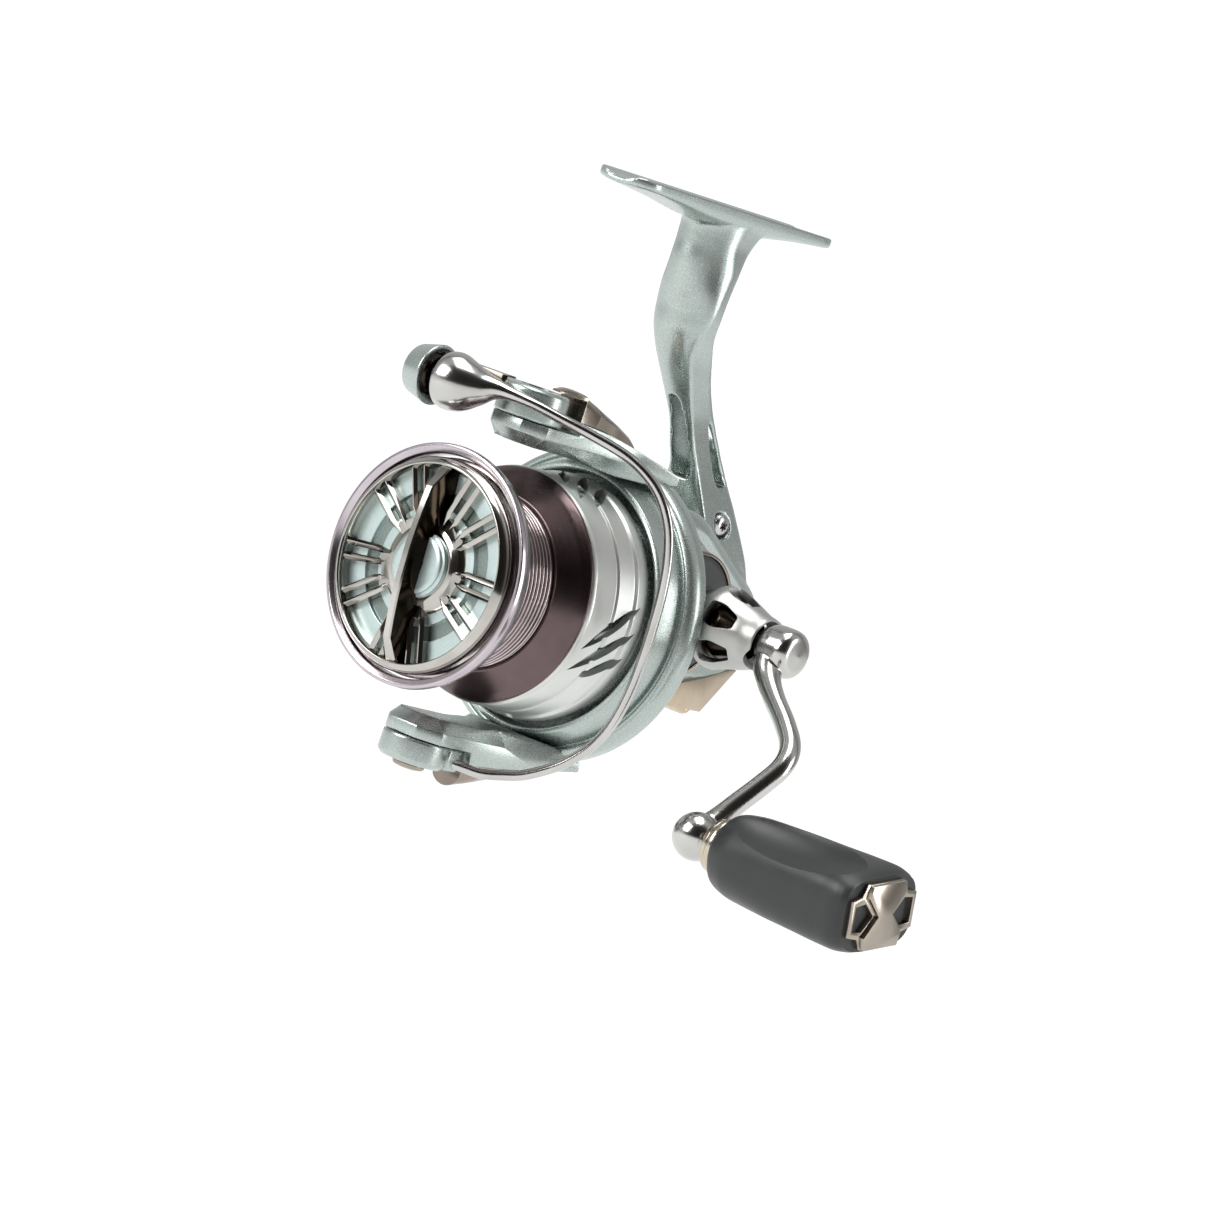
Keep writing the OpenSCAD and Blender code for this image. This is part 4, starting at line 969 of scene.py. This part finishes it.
crank()
dress(revolve("grip_ferrule", [(1.7, 61.0), (4.6, 61.0, 0.2), (5.1, 61.3, 0.2), (5.3, 62.3, 0.15),
    (5.15, 62.45, 0.05), (5.5, 62.65, 0.2), (5.8, 63.2, 0.3), (5.75, 64.0, 0.2), (1.7, 64.0)], ON_KNOB,
    120), "ferrule_nickel", "crank", "knob_ferrule")


def grip():
    wide = blend_values([(0, 6.0), (1.5, 7.7), (5, 8.7), (14, 9.4), (24, 10.0), (30, 10.4), (33, 10.6),
        (35, 10.3), (36, 9.9)])
    tall = blend_values([(0, 5.9), (1.5, 7.3), (5, 7.9), (14, 8.0), (22, 7.9), (28, 7.9), (33, 7.8),
        (35, 7.4), (36, 7.0)])
    square = blend_values([(0, 2.0), (6, 2.3), (18, 2.9), (30, 3.4), (36, 3.4)])
    rings = []
    for x in [0, 0.25, 0.7, *np.linspace(1.4, 34.4, 60), 35.0, 35.6, 35.9, 36.0]:
        a, b, p = wide(x), tall(x), square(x)
        ring = []
        for k in range(96):
            t = 2 * pi * k / 96
            c, s = cos(t), sin(t)
            y = a * copysign(abs(c) ** (2 / p), c)
            z = b * copysign(abs(s) ** (2 / p), s)
            ring.append((GRIP_X + x, y, z))
        rings.append(ring)
    body = build("grip_body", *skin(rings), IN_KNOB)
    # thumb scoops, one on each face, open towards opposite edges
    dip = [(sin(radians(t)), cos(radians(t))) for t in range(0, 181, 6)]
    for side in (1, -1):
        at = IN_KNOB @ move(GRIP_X + 18.0, side * -4.8, side * 9.4) @ Matrix.Diagonal((17.0, 9.6, 4.9, 1))
        cut(body, revolve("scoop", dip, at, 96, loop=False))
    cut(body, plug("bore", 3.5, -1, 30, IN_KNOB @ move(GRIP_X, 0, 0) @ turn(90, "Y"), 40))
    return dress(body, "knob_rubber", "knob", "knob_grip", crease=24)


grip()


def end_cap():
    x0 = GRIP_X + GRIP_LEN + 0.03
    place = IN_KNOB @ move(x0, 0, 0) @ turn(90, "Y") @ turn(90, "Z")
    edge = [(-8.8, -3.4), (-8.8, 3.4), (-6.2, 4.0), (-4.7, 6.2), (4.7, 6.2), (6.2, 4.0), (8.8, 3.4),
        (8.8, -3.4), (6.2, -4.0), (4.7, -6.2), (-4.7, -6.2), (-6.2, -4.0)]
    body = prism("grip_badge", edge, -0.4, 1.0, place)
    band = [(-4.6, 6.1), (4.6, 6.1), (5.2, 3.7), (1.9, 0), (5.2, -3.7), (4.6, -6.1), (-4.6, -6.1),
        (-5.2, -3.7), (-1.9, 0), (-5.2, 3.7)]
    union(body, prism("band", band, 0.5, 1.75, place))
    for s in (-1, 1):
        hole = [(s * 2.7, 0), (s * 5.3, 2.7), (s * 8.0, 2.4), (s * 8.0, -2.4), (s * 5.3, -2.7)]
        cut(body, prism("hole", hole, -0.1, 3, place))
    bevel(body, 0.22, 2, 25)
    return dress(body, "badge_nickel", "knob", "knob_end_cap", crease=25)


end_cap()

# the main shaft and the slider's rod, ended short of the case's slanted rear corner
dress(revolve("shaft_rod", [(0, -50), (1.6, -50, 0.2), (1.6, 36.6, 0.3), (1.0, 38.2), (0, 38.2)], ON_SHAFT,
    64, loop=False), "steel", "shaft", "main_shaft")
dress(revolve("guide_rod", [(0, 12), (1.2, 12), (1.2, 34.8), (0.7, 36.2), (0, 36.2)],
    move(0, 0, -88) @ turn(-90, "X"), 32, loop=False), "steel", "root", "slider_guide")

# ---------- the CAD nodes that stay ----------

KEPT = {
    "steel": ("drive_bearings", "pinion_bearing", "clutch_rollers", "clutch_screws", "knob_spindle",
              "knob_bearings", "rotor_nut", "clutch_sleeve", "arm_cover_screws", "bail_spring",
              "spring_guide", "roller_bearing", "slider_screw", "keyed_washers", "washer_retainer",
              "drag_spring"),
    "gear_brass": ("pinion_bush", "drive_gear", "pinion_gear"),
    # the steel handle shaft takes the dark chrome copy: painted shade inside the hub's windows
    "smoked_chrome": ("handle_shaft",),
    "inner_plastic": ("clutch_housing", "nut_lock", "oscillation_slider"),
    "pale_plastic": ("oscillation_gear", "spool_support", "trip_lever"),
    "drag_fibre": ("friction_washers",),
}
for look, names in KEPT.items():
    for name in names:
        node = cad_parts[name]
        node.data.materials.clear()
        node.data.materials.append(LOOKS[look])

# ---------- stage, light and camera ----------


def stage():
    half, top = 3000, -230
    square = [(-half, -half), (half, -half), (half, half), (-half, half)]
    floor = prism("floor", square, top - 2, top)
    n = Nodes("floor_paper")
    n.set(Base_Color=n.mix(n.noise(6, 3), (0.30, 0.30, 0.30, 1), (0.32, 0.32, 0.32, 1)), Roughness=0.9,
        Normal=n.bump(n.noise(300, 2), 0.05, 0.2), Emission_Color=(1, 1, 1, 1), Emission_Strength=0.90)
    floor.data.materials.append(n.material)


stage()
# the photograph's view, solved from the ellipses of the spool and the lines of the foot and handle
CAMERA = Vector((977.704, -1245.191, 22.314))
AIM = Vector((26.963, -26.468, -76.270))
AZIMUTH, ELEVATION, ROLL = (radians(a) for a in (37.958234, 3.649331, 19.058462))
LENS = 250.558


def camera():
    back = Vector((sin(AZIMUTH) * cos(ELEVATION), -cos(AZIMUTH) * cos(ELEVATION), sin(ELEVATION)))
    right = Vector((0, 0, 1)).cross(back).normalized()
    up = back.cross(right)
    u = right * cos(ROLL) + up * sin(ROLL)
    v = up * cos(ROLL) - right * sin(ROLL)
    made = bpy.data.objects.new("camera", bpy.data.cameras.new("camera"))
    bpy.context.scene.collection.objects.link(made)
    made.matrix_world = Matrix.Translation(CAMERA * MM) @ Matrix((u, v, back)).transposed().to_4x4()
    made.data.sensor_width = 36
    made.data.lens = LENS
    made.data.clip_start, made.data.clip_end = 0.05, 20
    bpy.context.scene.camera = made
    return back, u, v


BACK, RIGHT, UP = camera()


def softbox(name, direction, distance, size, power):
    light = bpy.data.lights.new(name, "AREA")
    light.shape = "RECTANGLE"
    light.size, light.size_y = size[0] * MM, size[1] * MM
    light.energy = power
    obj = bpy.data.objects.new(name, light)
    bpy.context.scene.collection.objects.link(obj)
    spot = AIM * MM + direction.normalized() * distance * MM
    obj.location = spot
    obj.rotation_mode = "QUATERNION"
    obj.rotation_quaternion = (spot - AIM * MM).to_track_quat("Z", "Y")
    return obj


softbox("key", BACK * 0.5 - RIGHT * 0.75 + UP * 0.75, 900, (500, 500), 6.5)
softbox("top", UP * 1.0 + BACK * 0.1 + RIGHT * 0.2, 800, (600, 400), 4)
softbox("side", RIGHT * 1.0 + BACK * 0.15 - UP * 0.1, 900, (300, 600), 2.5)


def studio():
    """White surround with a dim room behind the camera, which gives the metal its dark reflections."""
    world = bpy.data.worlds.new("studio")
    bpy.context.scene.world = world
    world.use_nodes = True
    tree = world.node_tree
    tree.nodes.clear()
    link = tree.links.new

    def add(kind):
        return tree.nodes.new("ShaderNode" + kind)

    dot = add("VectorMath")
    dot.operation = "DOT_PRODUCT"
    link(add("TexCoord").outputs["Generated"], dot.inputs[0])
    dot.inputs[1].default_value = BACK
    half = add("MapRange")
    half.inputs["From Min"].default_value = -1
    link(dot.outputs["Value"], half.inputs["Value"])
    ramp = add("ValToRGB")
    ramp.color_ramp.interpolation = "EASE"
    stops = ((0.0, (1.0, 1.0, 1.0)), (0.22, (0.9, 0.9, 0.9)), (0.34, (0.42, 0.40, 0.38)),
        (0.44, (0.9, 0.9, 0.9)), (0.63, (1.0, 1.0, 1.0)), (0.73, (0.34, 0.31, 0.29)),
        (0.82, (0.06, 0.05, 0.045)), (1.0, (0.03, 0.028, 0.027)))
    while len(ramp.color_ramp.elements) < len(stops):
        ramp.color_ramp.elements.new(0.5)
    for element, (spot, colour) in zip(ramp.color_ramp.elements, stops):
        element.position = spot
        element.color = (*colour, 1)
    link(half.outputs["Result"], ramp.inputs["Fac"])
    lit = add("Background")
    lit.inputs["Strength"].default_value = 0.60
    link(ramp.outputs["Color"], lit.inputs["Color"])
    seen = add("Background")
    seen.inputs["Color"].default_value = (1, 1, 1, 1)
    seen.inputs["Strength"].default_value = 1.1
    mix = add("MixShader")
    link(add("LightPath").outputs["Is Camera Ray"], mix.inputs["Fac"])
    link(lit.outputs["Background"], mix.inputs[1])
    link(seen.outputs["Background"], mix.inputs[2])
    link(mix.outputs["Shader"], add("OutputWorld").inputs["Surface"])


studio()
bpy.context.scene.view_settings.view_transform = "Standard"
